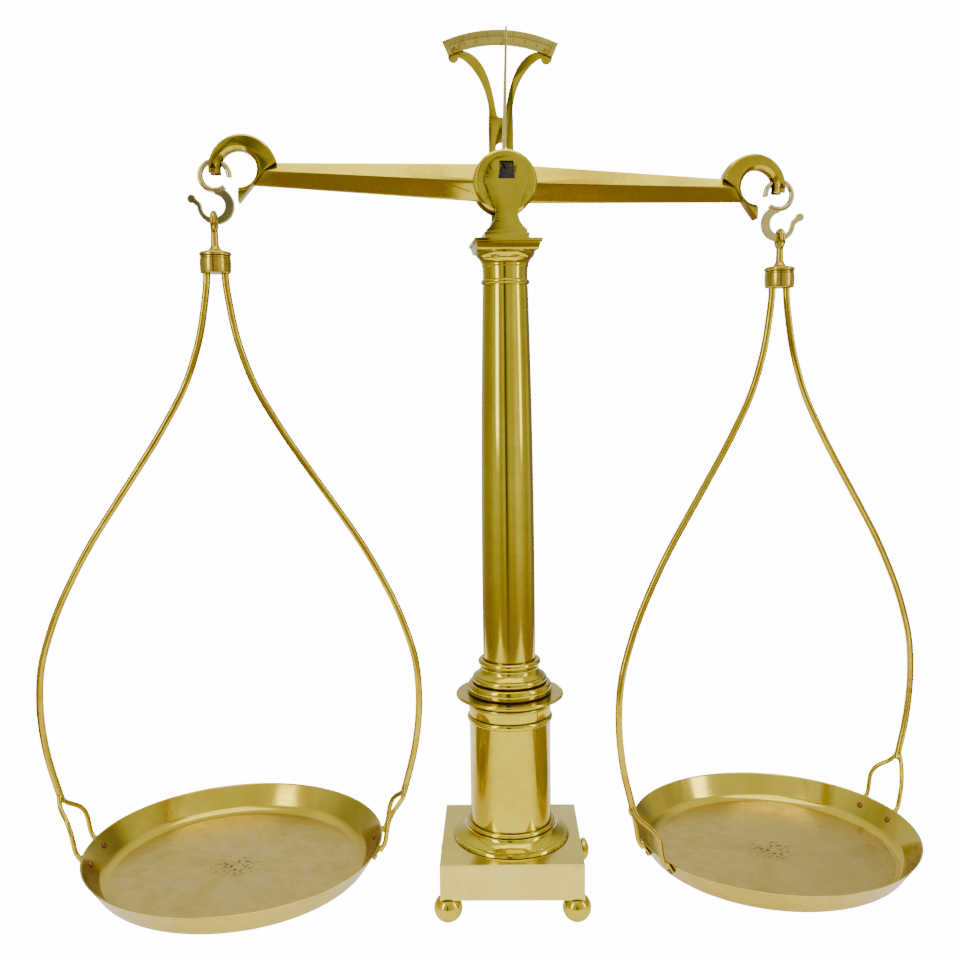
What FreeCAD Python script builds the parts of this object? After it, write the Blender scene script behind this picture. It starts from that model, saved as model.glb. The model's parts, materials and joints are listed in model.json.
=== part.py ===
"""Column beam scale in brass, with a turned column, a pivoting beam and two hanging pans.

Millimetres. +Z is up, the beam lies along X and the front is -Y. The origin is on the
column's axis, at the level that the four ball feet stand on.
"""
import FreeCAD, Part
import math
import os

# ---------------------------------------------------------------- driving dimensions
# plinth and feet
plinth_width = 100.0
plinth_height = 25.5
plinth_wall = 3.0
plinth_turn = -6.5          # degrees that the plinth stands out of square with the beam
foot_diameter = 20.0
foot_pitch = 89.2           # between foot centres
foot_sink = 3.0             # how far the ball is cut to seat under the plinth
foot_flat = 4.0             # diameter of the worn flat that a ball stands on
stud_diameter = 6.0
corner_block = 17.0

# pedestal, column and capital: (height, radius at foot, radius at head, belly)
base_steps = [
    (2.6, 41.9, 41.4, 0.9),
    (6.6, 38.9, 31.6, -1.6),
    (3.3, 31.0, 30.6, 0.8),
]
drum_radius = 29.3
drum_height = 74.0
drum_wall = 3.0
bead_steps = [
    (4.5, 30.0, 30.0, 1.0),
    (0.6, 28.9, 28.9, 0.0),
    (6.6, 29.6, 29.6, 0.0),
    (2.4, 30.6, 30.6, 0.5),
    (3.6, 31.4, 33.4, 0.3),
]
brim_radius = 38.8
brim_thickness = 2.4
column_base_steps = [
    (7.9, 29.0, 29.0, 1.0),
    (5.0, 25.7, 25.7, 1.3),
    (6.5, 25.0, 21.2, -1.0),
    (1.0, 20.4, 20.4, 0.0),
    (4.5, 21.3, 21.3, 1.2),
]
shaft_height = 264.9
shaft_foot_radius = 18.8
shaft_swell = 1.15          # how far the shaft's side stands out of a straight taper
shaft_head_radius = 15.9
shaft_wall = 2.2
capital_steps = [
    (1.1, 15.6, 15.6, 0.0),
    (3.3, 16.0, 16.0, 1.1),
    (8.8, 15.7, 15.9, 0.0),
    (0.6, 16.4, 16.4, 0.0),
    (4.6, 16.4, 18.2, -0.5),
    (0.5, 17.8, 17.8, 0.0),
    (4.5, 18.5, 20.9, 0.5),
]
abacus_steps = [(5.2, 41.5, 44.5), (2.3, 46.6, 46.6)]   # (height, width at foot, at head)

# fork and its bearings
fork_depth = 28.0
fork_slot = 21.8
fork_base_width = 30.8
fork_base_height = 4.6
fork_flare_width = 28.0
fork_flare_foot = 2.1       # upright face at the foot of the flare
fork_neck_width = 15.4
fork_neck_rise = 12.7       # from the base block up to the narrowest place
fork_head_radius = 15.0
fork_head_lift = 2.0        # head centre over the boss centre
boss_over_abacus = 39.5
slot_floor_drop = 26.0      # slot floor under the boss centre
window_foot_width = 11.6
window_head_width = 9.8
window_height = 11.9
window_rise = 1.1           # window's foot over the boss centre
bearing_rise = 1.6          # shoulders of the bearing over the knife edge

# scale plate and bracket
plate_outer_radius = 100.5
plate_inner_radius = 90.0
plate_half_angle = 24.0
plate_thickness = 1.6
bracket_thickness = 3.0
bracket_stem_width = 17.4
bracket_outer_curve = [     # (half width, height over the pivot)
    (8.7, 40.0), (9.1, 52.0), (11.9, 61.5), (17.5, 72.0), (24.6, 79.6), (31.2, 83.3),
]
bracket_inner_curve = [
    (3.0, 44.0), (4.6, 52.5), (7.2, 63.7), (11.7, 74.8), (19.6, 83.7), (31.2, 86.0),
]
lobe_radius = 3.8
lobe_angle = 21.4
lobe_inset = 1.6            # lobe centre under the plate's inner edge
keyhole_width = 7.6
keyhole_top = 24.0          # over the pivot
bracket_screw_diameter = 3.0
plate_screw_diameter = 2.4

# beam
pivot_over_boss = 7.2       # knife edge over the boss centre
beam_half_span = 197.0      # centre knife to end knife
end_knife_drop = 0.8        # end knives under the centre knife
beam_tilt = 1.7             # degrees, right end low
boss_radius = 22.0
boss_plate_thickness = 3.0
boss_core_radius = 20.0
boss_core_depth = 14.4
arm_root_station = 22.0     # where the arm leaves the boss
arm_root_top = 12.5         # over the boss centre, as the next five are
arm_root_foot = -12.5
arm_root_ridge = 0.0
arm_end_station = 152.0
arm_end_top = 8.5
arm_end_foot = -7.8
arm_end_ridge = 2.0
arm_root_depth = 14.0
arm_end_depth = 10.0
arm_edge_width = 3.0
arm_cut = [(26.4, 12.9), (33.3, 4.2), (42.0, -2.0)]  # inward of the end knife, and under it
neck_outer_radius = 22.8
neck_inner_radius = 12.3
neck_inset = 19.5           # end knife back to the neck's centre
neck_drop = 3.1             # neck centre under the end knife
neck_offset = 3.1           # inner circle's centre, outward of the outer one's
neck_depth = 12.0
neck_chamfer = 1.4
neck_lip_chamfer = 2.4
tip_drop = 6.7              # tip's foot under the end knife
tip_slot = 6.4
tip_slot_height = 5.5       # over the end knife
centre_knife_height = 5.0
centre_knife_half_width = 2.9
end_knife_height = 3.8
end_knife_half_width = 2.3
needle_foot_width = 3.0
needle_tip_width = 1.5
needle_thickness = 1.2
needle_y = 4.0
needle_foot = 5.6           # over the pivot, where the needle is let into the boss
needle_reach = 100.0

# hook, eye and ferrule
hook_wire = 3.9
hook_ring_radius = 9.65
hook_flat = 3.2
crescent_radius = 12.45
crescent_drop = 27.8        # crescent centre under the end knife
crescent_shift = -0.3       # and outward of it
crescent_inner_radius = 7.7
seat_drop = 27.9            # centre of the inner circle under the end knife
seat_shift = 1.35           # and outward of it
curl_radius = 2.9
curl_rise = 4.6             # curl's centre over the crescent's, and outward of it
curl_shift = 16.0
eye_wire = 4.1
eye_inner_radius = 3.65
stem_radius = 2.7
stem_flare = 2.0
stem_length = 13.15
eye_disc_radius = 10.85
eye_disc_thickness = 3.6
swivel_pin_diameter = 5.0
ferrule_radius = 10.55
ferrule_height = 11.6
ferrule_floor = 6.0

# bail rods and pans
rod_diameter = 5.2
rod_pitch = 12.5            # between the two rods inside the ferrule
rod_straight = 5.0          # straight run under the ferrule's foot
bail_drop = 400.7           # from the ferrule's foot down to the rim of the pan
bail_points = [             # (half width, height over the pan's rim)
    (7.6, 385.0), (12.0, 358.0), (22.8, 325.0), (43.0, 290.0),
    (97.0, 210.0), (119.0, 167.0), (131.2, 130.0), (133.2, 97.0), (129.5, 65.0),
]
prong_split_radius = 121.5
prong_split_height = 36.0
prong_diameter = 3.6
prong_half_angle = 8.5
knee_rise = 2.0             # prong's lower bend over the rim
shoulder_rise = 21.0        # prong's upper bend over the rim, and outward of it
shoulder_reach = 7.0
tab_width = 6.4
tab_thickness = 1.8
tab_drop = 10.5
tab_gap = 0.05              # between a tab and the wall
rivet_diameter = 2.6
rivet_head_diameter = 4.4
rivet_head_height = 0.9
rivet_drop = 7.0
pan_radius = 104.5
pan_depth = 19.5
pan_floor_radius = 86.0
pan_wall_lean = 32.7        # degrees that the wall leans out from upright
pan_thickness = 1.0
left_pan_turn = -3.0
right_pan_turn = 17.0

# lift gear inside the foot and the column
knob_diameter = 15.6
knob_height = 5.4
control_rise = 13.0         # arbor's axis over the plinth's foot
arbor_diameter = 6.0
bush_diameter = 11.0
bush_flange = 1.2
cam_least_radius = 4.0
cam_width = 8.0
lift = 3.2                  # rise of the rod over the knob's half turn
lift_rod_diameter = 5.0
rod_foot_diameter = 8.0
rod_foot_height = 1.6
pad_diameter = 9.0
pad_height = 2.4
tie_tube_diameter = 9.0
tie_nut_width = 17.0
tie_nut_height = 5.0
tie_washer_diameter = 22.0
tie_washer_thickness = 1.6
tie_thread_in_fork = 6.0

# clearances
seat = 0.0                  # face to face
running = 0.05              # radial, between a pin and its bore
free = 0.3                  # between parts that pass each other
knife_gap = 0.05            # between a knife edge and what bears on it
eye_gap = 0.70              # under the eye's wire, where the crescent's edges meet it

# ---------------------------------------------------------------- worked-out places
UP = FreeCAD.Vector(0, 0, 1)
ALONG = FreeCAD.Vector(1, 0, 0)
ACROSS = FreeCAD.Vector(0, 1, 0)
ORIGIN = FreeCAD.Vector(0, 0, 0)

plinth_foot = foot_diameter - foot_sink
plinth_top = plinth_foot + plinth_height
drum_foot = plinth_top + sum(step[0] for step in base_steps)
bead_foot = drum_foot + drum_height
brim_foot = bead_foot + sum(step[0] for step in bead_steps)
column_foot = brim_foot + brim_thickness
shaft_foot = column_foot + sum(step[0] for step in column_base_steps)
capital_foot = shaft_foot + shaft_height
abacus_foot = capital_foot + sum(step[0] for step in capital_steps)
abacus_top = abacus_foot + sum(step[0] for step in abacus_steps)
boss_z = abacus_top + boss_over_abacus
pivot_z = boss_z + pivot_over_boss
slot_floor_z = boss_z - slot_floor_drop
PIVOT = FreeCAD.Vector(0, 0, pivot_z)
control_z = plinth_foot + control_rise


# ---------------------------------------------------------------- helpers
def point(x, y, z):
    return FreeCAD.Vector(x, y, z)


def cylinder(radius, height, x=0.0, y=0.0, z=0.0, axis=UP):
    return Part.makeCylinder(radius, height, point(x, y, z), axis)


def block(size_x, size_y, size_z, x=0.0, y=0.0, z=0.0):
    """A box centred on x and y, standing on z."""
    return Part.makeBox(size_x, size_y, size_z, point(x - size_x / 2, y - size_y / 2, z))


def turned_by(shape, degrees, centre=ORIGIN, axis=UP):
    shape.rotate(centre, axis, degrees)
    return shape


def fused(shapes):
    """One solid from pieces that overlap or share a face."""
    whole = shapes[0].multiFuse(shapes[1:])
    return whole.removeSplitter()


def flat_face(edges):
    return Part.Face(Part.Wire(edges))


def polygon_face(corners):
    return Part.Face(Part.makePolygon(corners + [corners[0]]))


def slab(face, depth):
    """A face in the XZ plane thickened evenly to both sides of it."""
    face.translate(point(0, -depth / 2, 0))
    return face.extrude(point(0, depth, 0))


def turning(foot_z, steps, bore):
    """A turned piece: each step is (height, radius at foot, radius at head, belly)."""
    edges = []
    z = foot_z
    last = point(bore, 0, z)
    for height, foot_radius, head_radius, belly in steps:
        start = point(foot_radius, 0, z)
        end = point(head_radius, 0, z + height)
        if last.distanceToPoint(start) > 1e-6:
            edges.append(Part.LineSegment(last, start).toShape())
        if belly == 0:
            edges.append(Part.LineSegment(start, end).toShape())
        else:
            middle = point((foot_radius + head_radius) / 2 + belly, 0, z + height / 2)
            edges.append(Part.Arc(start, middle, end).toShape())
        last = end
        z += height
    inner_head = point(bore, 0, z)
    if last.distanceToPoint(inner_head) > 1e-6:
        edges.append(Part.LineSegment(last, inner_head).toShape())
    edges.append(Part.LineSegment(inner_head, point(bore, 0, foot_z)).toShape())
    return flat_face(edges).revolve(ORIGIN, UP, 360)


def rounded_path(points, least_share=0.45):
    """Straight runs joined by tangent arcs, each as large as its two runs allow."""
    edges = []
    last = points[0]
    for before, corner, after in zip(points, points[1:], points[2:]):
        run_in = corner - before
        run_out = after - corner
        half_turn = run_in.getAngle(run_out) / 2
        reach = least_share * min(run_in.Length, run_out.Length)
        direction_in = FreeCAD.Vector(run_in).normalize()
        direction_out = FreeCAD.Vector(run_out).normalize()
        start = corner - direction_in * reach
        end = corner + direction_out * reach
        radius = reach / math.tan(half_turn)
        inward = (direction_out - direction_in).normalize()
        middle = corner + inward * (radius / math.cos(half_turn) - radius)
        edges.append(Part.LineSegment(last, start).toShape())
        edges.append(Part.Arc(start, middle, end).toShape())
        last = end
    edges.append(Part.LineSegment(last, points[-1]).toShape())
    return Part.Wire(edges)


def wire_rod(points, diameter):
    """A round rod bent along a path."""
    path = rounded_path(points)
    first_run = (points[1] - points[0]).normalize()
    section = Part.Wire(Part.makeCircle(diameter / 2, points[0], first_run))
    return path.makePipeShell([section], True, False)


def ring_arc(radius, wire, start_degrees, end_degrees, centre):
    """Part of a round wire ring in the XZ plane; degrees run from +X towards +Z."""
    sweep = end_degrees - start_degrees
    ring = Part.makeTorus(radius, wire / 2, ORIGIN, UP, 0, 360, sweep)
    ring.rotate(ORIGIN, UP, start_degrees)
    ring.rotate(ORIGIN, ALONG, 90)
    ring.translate(centre)
    return ring


def prism_knife(length, height, half_width, edge_up):
    """A knife along Y with its edge on the origin."""
    rise = -height if edge_up else height
    corners = [point(0, -length / 2, 0), point(half_width, -length / 2, rise),
               point(-half_width, -length / 2, rise)]
    return polygon_face(corners).extrude(point(0, length, 0))


def side_name(side):
    return "left" if side < 0 else "right"


# ---------------------------------------------------------------- plinth and feet
def foot(side_x, side_y):
    """A ball cut flat above and below, with its stud."""
    ball = Part.makeSphere(foot_diameter / 2, point(0, 0, foot_diameter / 2))
    lift_to_flat = foot_diameter / 2 - math.sqrt((foot_diameter / 2) ** 2 - (foot_flat / 2) ** 2)
    ball.translate(point(0, 0, -lift_to_flat))
    keep = block(foot_diameter * 2, foot_diameter * 2, plinth_foot)
    ball = ball.common(keep)
    stud = cylinder(stud_diameter / 2, corner_block / 2 + foot_sink, 0, 0, plinth_foot - foot_sink)
    whole = fused([ball, stud])
    whole.translate(point(side_x * foot_pitch / 2, side_y * foot_pitch / 2, 0))
    return turned_by(whole, plinth_turn)


def plinth():
    """A hollow square casting with a block in each corner for a foot."""
    outer = block(plinth_width, plinth_width, plinth_height, 0, 0, plinth_foot)
    inner_width = plinth_width - 2 * plinth_wall
    inner = block(inner_width, inner_width, plinth_height - plinth_wall, 0, 0, plinth_foot)
    body = outer.cut(inner)
    block_place = (plinth_width - corner_block) / 2
    blocks = [block(corner_block, corner_block, plinth_height - plinth_wall / 2,
                    x * block_place, y * block_place, plinth_foot)
              for x in (-1, 1) for y in (-1, 1)]
    body = fused([body] + blocks)
    holes = [cylinder(stud_diameter / 2, corner_block / 2,
                      x * foot_pitch / 2, y * foot_pitch / 2, plinth_foot)
             for x in (-1, 1) for y in (-1, 1)]
    holes.append(cylinder(tie_tube_diameter / 2, plinth_height, 0, 0, plinth_foot))
    holes.append(cylinder(bush_diameter / 2, 2 * plinth_wall,
                          plinth_width / 2 - 1.5 * plinth_wall, 0, control_z, ALONG))
    for hole in holes:
        body = body.cut(hole)
    rim = [edge for edge in body.Edges
           if edge.BoundBox.ZMin > plinth_top - 0.01 and edge.Length > plinth_width * 0.9]
    uprights = [edge for edge in body.Edges
                if abs(edge.BoundBox.XMin) > plinth_width / 2 - 0.01
                and abs(edge.BoundBox.YMin) > plinth_width / 2 - 0.01
                and edge.BoundBox.ZLength > plinth_height * 0.9]
    body = body.makeChamfer(0.5, rim + uprights)
    return turned_by(body, plinth_turn)


# ---------------------------------------------------------------- pedestal and column
def base_moulding():
    return turning(plinth_top, base_steps, drum_radius - drum_wall)


def pedestal_drum():
    steps = [(drum_height, drum_radius, drum_radius, 0.0)] + bead_steps
    return turning(drum_foot, steps, drum_radius - drum_wall)


def brim():
    return turning(brim_foot, [(brim_thickness, brim_radius, brim_radius, 0.35)],
                   tie_tube_diameter / 2 + free)


def column_base():
    return turning(column_foot, column_base_steps, shaft_foot_radius - shaft_wall)


def column_shaft():
    steps = [(shaft_height, shaft_foot_radius, shaft_head_radius, shaft_swell)]
    solid = turning(shaft_foot, steps, 0.0)
    bore_steps = [(shaft_height, shaft_foot_radius - shaft_wall, shaft_head_radius - shaft_wall,
                   shaft_swell)]
    return solid.cut(turning(shaft_foot, bore_steps, 0.0))


def capital():
    """Turned necking and a square abacus, bored for the tie tube."""
    pieces = [turning(capital_foot, capital_steps, 0.0)]
    z = abacus_foot
    for height, foot_width, head_width in abacus_steps:
        wires = []
        for width, level in ((foot_width, z), (head_width, z + height)):
            half = width / 2
            corners = [point(-half, -half, level), point(half, -half, level),
                       point(half, half, level), point(-half, half, level)]
            wires.append(Part.makePolygon(corners + [corners[0]]))
        pieces.append(Part.makeLoft(wires, True, True))
        z += height
    whole = fused(pieces)
    return whole.cut(cylinder(tie_tube_diameter / 2, abacus_top - capital_foot, 0, 0, capital_foot))


# ---------------------------------------------------------------- fork and bearings
def window_face(shrink=0.0):
    """The bell-shaped opening in a cheek, in the XZ plane."""
    foot_half = window_foot_width / 2 - shrink
    head_half = window_head_width / 2 - shrink
    foot_z = window_foot_z()
    shoulder = foot_z + window_height * 0.55
    return [point(-foot_half, 0, foot_z), point(foot_half, 0, foot_z),
            point(head_half, 0, shoulder), point(head_half, 0, foot_z + window_height),
            point(-head_half, 0, foot_z + window_height), point(-head_half, 0, shoulder)]


def window_foot_z():
    return boss_z + window_rise


def fork():
    """Base block, flared neck and two cheeks that carry the bearings."""
    head_z = boss_z + fork_head_lift
    base_top = abacus_top + fork_base_height
    flare_z = base_top + fork_flare_foot
    neck_z = flare_z + fork_neck_rise
    flare = fork_flare_width / 2
    neck = fork_neck_width / 2
    touch_x = fork_head_radius * 0.93
    touch_z = head_z - math.sqrt(fork_head_radius ** 2 - touch_x ** 2)
    belly_x = neck + (flare - neck) * 0.25
    belly_z = flare_z + fork_neck_rise * 0.42
    edges = [
        Part.LineSegment(point(-flare, 0, base_top), point(flare, 0, base_top)).toShape(),
        Part.LineSegment(point(flare, 0, base_top), point(flare, 0, flare_z)).toShape(),
        Part.Arc(point(flare, 0, flare_z), point(belly_x, 0, belly_z),
                 point(neck, 0, neck_z)).toShape(),
        Part.LineSegment(point(neck, 0, neck_z), point(touch_x, 0, touch_z)).toShape(),
        Part.Arc(point(touch_x, 0, touch_z), point(0, 0, head_z + fork_head_radius),
                 point(-touch_x, 0, touch_z)).toShape(),
        Part.LineSegment(point(-touch_x, 0, touch_z), point(-neck, 0, neck_z)).toShape(),
        Part.Arc(point(-neck, 0, neck_z), point(-belly_x, 0, belly_z),
                 point(-flare, 0, flare_z)).toShape(),
        Part.LineSegment(point(-flare, 0, flare_z), point(-flare, 0, base_top)).toShape(),
    ]
    cheeks = slab(flat_face(edges), fork_depth)
    base = block(fork_base_width, fork_depth + 2.0, fork_base_height, 0, 0, abacus_top)
    whole = fused([cheeks, base])
    slot = block(4 * fork_head_radius, fork_slot, 3 * fork_head_radius, 0, 0, slot_floor_z)
    whole = whole.cut(slot)
    whole = whole.cut(slab(polygon_face(window_face()), fork_depth * 2))
    whole = whole.cut(cylinder(tie_tube_diameter / 2, tie_thread_in_fork, 0, 0, abacus_top))
    rod_way = cylinder(lift_rod_diameter / 2 + running, slot_floor_z - abacus_top, 0, 0, abacus_top)
    whole = whole.cut(rod_way)
    for x in (-1, 1):
        hole = cylinder(bracket_screw_diameter / 2, fork_depth, x * bracket_screw_x(), 0,
                        bracket_screw_z(), ACROSS)
        whole = whole.cut(hole)
    return whole


def bracket_screw_x():
    return bracket_stem_width / 2 - bracket_screw_diameter


def bracket_screw_z():
    return boss_z - bracket_screw_diameter * 2


def bearing(side_y):
    """A hard steel block with a shallow V in its top, set in a cheek's window."""
    wall = (fork_depth - fork_slot) / 2
    body = slab(polygon_face(window_face()), wall - 2 * running)
    top = block(window_foot_width * 2, fork_depth, window_height, 0, 0, pivot_z + bearing_rise)
    body = body.cut(top)
    groove_half = 2 * bearing_rise
    groove = [point(0, 0, pivot_z - knife_gap), point(groove_half, 0, pivot_z + groove_half * 0.6),
              point(-groove_half, 0, pivot_z + groove_half * 0.6)]
    body = body.cut(slab(polygon_face(groove), fork_depth))
    body.translate(point(0, side_y * (fork_depth - wall) / 2, 0))
    return body


# ---------------------------------------------------------------- scale plate
def smooth_edge(points):
    curve = Part.BSplineCurve()
    curve.interpolate(points)
    return curve.toShape()


def bracket_arm(side_x):
    """One curved arm of the lyre, from the stem to its lobe under the plate."""
    outer = [point(x, 0, pivot_z + z) for x, z in bracket_outer_curve]
    inner = [point(x, 0, pivot_z + z) for x, z in bracket_inner_curve]
    foot_inner = point(inner[0].x, 0, outer[0].z)
    edges = [
        smooth_edge(outer),
        Part.LineSegment(outer[-1], inner[-1]).toShape(),
        smooth_edge(inner),
        Part.LineSegment(inner[0], foot_inner).toShape(),
        Part.LineSegment(foot_inner, outer[0]).toShape(),
    ]
    wire = Part.Wire(Part.__sortEdges__(edges))
    arm = slab(Part.Face(wire), bracket_thickness)
    turn = math.radians(lobe_angle)
    lobe_x = plate_inner_radius * math.sin(turn)
    lobe_z = pivot_z + plate_inner_radius * math.cos(turn) - lobe_inset
    lobe = cylinder(lobe_radius, bracket_thickness, lobe_x, -bracket_thickness / 2, lobe_z, ACROSS)
    whole = fused([arm, lobe])
    if side_x < 0:
        whole = whole.mirror(ORIGIN, ALONG)
    return whole


def scale_bracket():
    """Flat stem screwed to the back cheek, parting into two arms."""
    foot_z = boss_z - fork_head_radius * 0.75
    split_half, split_rise = bracket_inner_curve[0]
    split_z = pivot_z + split_rise
    arm_foot_z = pivot_z + bracket_outer_curve[0][1]
    stem = block(bracket_stem_width, bracket_thickness, arm_foot_z - foot_z, 0, 0, foot_z)
    bridge = block(2 * split_half, bracket_thickness, split_z - arm_foot_z, 0, 0, arm_foot_z)
    arms = [bracket_arm(side_x) for side_x in (-1, 1)]
    whole = fused([stem, bridge] + arms)
    keyhole_z = pivot_z + keyhole_top - keyhole_width / 2
    key_depth = bracket_thickness * 2
    key_round = cylinder(keyhole_width / 2, key_depth, 0, -key_depth / 2, keyhole_z, ACROSS)
    key_foot_z = boss_z + window_rise
    key_slot = block(keyhole_width, key_depth, keyhole_z - key_foot_z, 0, 0, key_foot_z)
    whole = whole.cut(key_round).cut(key_slot)
    notch = cylinder(split_half, key_depth, 0, -key_depth / 2, split_z, ACROSS)
    whole = whole.cut(notch)
    for x in (-1, 1):
        hole = cylinder(bracket_screw_diameter / 2, key_depth, x * bracket_screw_x(),
                        -key_depth / 2, bracket_screw_z(), ACROSS)
        whole = whole.cut(hole)
    whole.translate(point(0, bracket_y(), 0))
    return whole


def bracket_y():
    return fork_depth / 2 + bracket_thickness / 2 + seat


def plate_screw_places():
    radius = plate_inner_radius + 1.9
    return [(radius * math.sin(math.radians(angle)), pivot_z + radius * math.cos(math.radians(angle)))
            for angle in (-lobe_angle + 1.0, lobe_angle - 1.0)]


def scale_plate():
    """Arc plate, concentric with the knife, in front of the bracket's lobes."""
    half = math.radians(plate_half_angle)

    def on_arc(radius, angle):
        return point(radius * math.sin(angle), 0, pivot_z + radius * math.cos(angle))

    edges = [
        Part.Arc(on_arc(plate_outer_radius, -half), on_arc(plate_outer_radius, 0),
                 on_arc(plate_outer_radius, half)).toShape(),
        Part.LineSegment(on_arc(plate_outer_radius, half), on_arc(plate_inner_radius, half)).toShape(),
        Part.Arc(on_arc(plate_inner_radius, half), on_arc(plate_inner_radius, 0),
                 on_arc(plate_inner_radius, -half)).toShape(),
        Part.LineSegment(on_arc(plate_inner_radius, -half),
                         on_arc(plate_outer_radius, -half)).toShape(),
    ]
    plate = slab(flat_face(edges), plate_thickness)
    plate.translate(point(0, plate_y(), 0))
    for x, z in plate_screw_places():
        plate = plate.cut(cylinder(plate_screw_diameter / 2, plate_thickness * 3, x,
                                   plate_y() - plate_thickness * 1.5, z, ACROSS))
    return plate


def plate_y():
    return bracket_y() - bracket_thickness / 2 - plate_thickness / 2 - seat


def screw_along_y(x, head_y, z, length, diameter, direction):
    """A cheese-head screw whose shank runs along Y from under its head."""
    head = cylinder(diameter * 0.85, diameter * 0.45, 0, 0, 0, ACROSS)
    head.translate(point(0, -diameter * 0.45, 0))
    shank = cylinder(diameter / 2, length, 0, 0, 0, ACROSS)
    slot = block(diameter * 2, diameter * 0.3, diameter * 0.22)
    slot.translate(point(0, -diameter * 0.4, -diameter * 0.11))
    whole = fused([head, shank]).cut(slot)
    if direction < 0:
        whole.rotate(ORIGIN, UP, 180)
    whole.translate(point(x, head_y, z))
    return whole


def plate_screws():
    """Two screws from the front, through the plate, riveted over in the lobes."""
    front = plate_y() - plate_thickness / 2
    screws = [screw_along_y(x, front, z, plate_thickness - running, plate_screw_diameter, 1)
              for x, z in plate_screw_places()]
    return Part.makeCompound(screws)


def bracket_screws():
    """Two screws from behind, through the bracket into the back cheek."""
    back = bracket_y() + bracket_thickness / 2
    depth = bracket_thickness + (fork_depth - fork_slot) / 2 - free
    screws = [screw_along_y(x * bracket_screw_x(), back, bracket_screw_z(), depth,
                            bracket_screw_diameter, -1) for x in (-1, 1)]
    return Part.makeCompound(screws)


# ---------------------------------------------------------------- beam
def tilted(shape):
    return turned_by(shape, beam_tilt, PIVOT, ACROSS)


def end_knife_place(side):
    """Where an end knife's edge lies with the beam at rest."""
    place = point(side * beam_half_span, 0, pivot_z - end_knife_drop)
    swing = FreeCAD.Rotation(ACROSS, beam_tilt)
    return PIVOT + swing.multVec(place - PIVOT)


def arm_section(side, station):
    """Six-sided section with a ridge along each face; sizes run evenly along the arm."""
    share = (station - arm_root_station) / (arm_end_station - arm_root_station)
    top = boss_z + arm_root_top + (arm_end_top - arm_root_top) * share
    foot_level = boss_z + arm_root_foot + (arm_end_foot - arm_root_foot) * share
    ridge = boss_z + arm_root_ridge + (arm_end_ridge - arm_root_ridge) * share
    half_depth = (arm_root_depth + (arm_end_depth - arm_root_depth) * share) / 2
    edge = arm_edge_width / 2
    x = side * station
    corners = [point(x, -edge, top), point(x, edge, top), point(x, half_depth, ridge),
               point(x, edge, foot_level), point(x, -edge, foot_level), point(x, -half_depth, ridge)]
    return Part.makePolygon(corners + [corners[0]])


def cut_line(side):
    """The oblique joint between arm and neck: a bent line, run on past both edges."""
    knife_z = pivot_z - end_knife_drop
    places = [point(side * (beam_half_span - inward), 0, knife_z - under)
              for inward, under in arm_cut]
    low_end = places[0] + (places[0] - places[1]) * 4
    high_end = places[-1] + (places[-1] - places[-2]) * 4
    return [low_end] + places + [high_end]


def beyond_cut(side):
    """Everything outward of the oblique joint."""
    line = cut_line(side)
    far_x = side * beam_half_span * 2
    corners = line + [point(far_x, 0, line[-1].z), point(far_x, 0, line[0].z)]
    return slab(polygon_face(corners), 4 * neck_depth)


def centre_knife_way():
    """The groove that the centre knife is let into, right through the beam."""
    knife = prism_knife(fork_depth * 2, centre_knife_height, centre_knife_half_width, False)
    knife.translate(PIVOT)
    return knife


def beam_arms():
    """Both arms and the boss core, in one forging."""
    core = cylinder(boss_core_radius, boss_core_depth, 0, -boss_core_depth / 2, boss_z, ACROSS)
    pieces = [core]
    for side in (-1, 1):
        root = arm_section(side, boss_core_radius * 0.5)
        end = arm_section(side, beam_half_span)
        arm = Part.makeLoft([root, end], True, True)
        pieces.append(arm.cut(beyond_cut(side)))
    whole = fused(pieces)
    whole = whole.cut(centre_knife_way())
    needle_way = block(needle_foot_width, needle_thickness, boss_radius, 0, needle_y,
                       pivot_z + needle_foot)
    whole = whole.cut(needle_way)
    for x, z in boss_screw_places():
        whole = whole.cut(cylinder(boss_screw_diameter() / 2, fork_depth, x, -fork_depth / 2, z, ACROSS))
    return tilted(whole)


def boss_screw_diameter():
    return bracket_screw_diameter * 0.8


def boss_screw_places():
    radius = boss_core_radius * 0.82
    return [(radius * math.cos(math.radians(angle)), boss_z + radius * math.sin(math.radians(angle)))
            for angle in (-35, 215)]


def boss_plate(side_y):
    """A round face plate with a bevelled edge."""
    bevel = boss_plate_thickness * 0.45
    inner = cylinder(boss_radius, boss_plate_thickness - bevel, 0, 0, 0, ACROSS)
    outer = Part.makeCone(boss_radius, boss_radius - bevel * 1.2, bevel,
                          point(0, boss_plate_thickness - bevel, 0), ACROSS)
    plate = fused([inner, outer])
    plate.translate(point(0, boss_core_depth / 2, boss_z))
    if side_y < 0:
        plate = plate.mirror(ORIGIN, ACROSS)
    plate = plate.cut(centre_knife_way())
    for x, z in boss_screw_places():
        plate = plate.cut(cylinder(boss_screw_diameter() / 2, fork_depth, x, -fork_depth / 2, z, ACROSS))
    return tilted(plate)


def boss_screws():
    """Two pins that hold both face plates to the core, filed flush."""
    length = boss_core_depth + 2 * boss_plate_thickness
    pins = [cylinder(boss_screw_diameter() / 2, length, x, -length / 2, z, ACROSS)
            for x, z in boss_screw_places()]
    return tilted(Part.makeCompound(pins))


def centre_knife():
    length = fork_depth - 2 * free
    knife = prism_knife(length, centre_knife_height, centre_knife_half_width, False)
    knife.translate(PIVOT)
    return tilted(knife)


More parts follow.
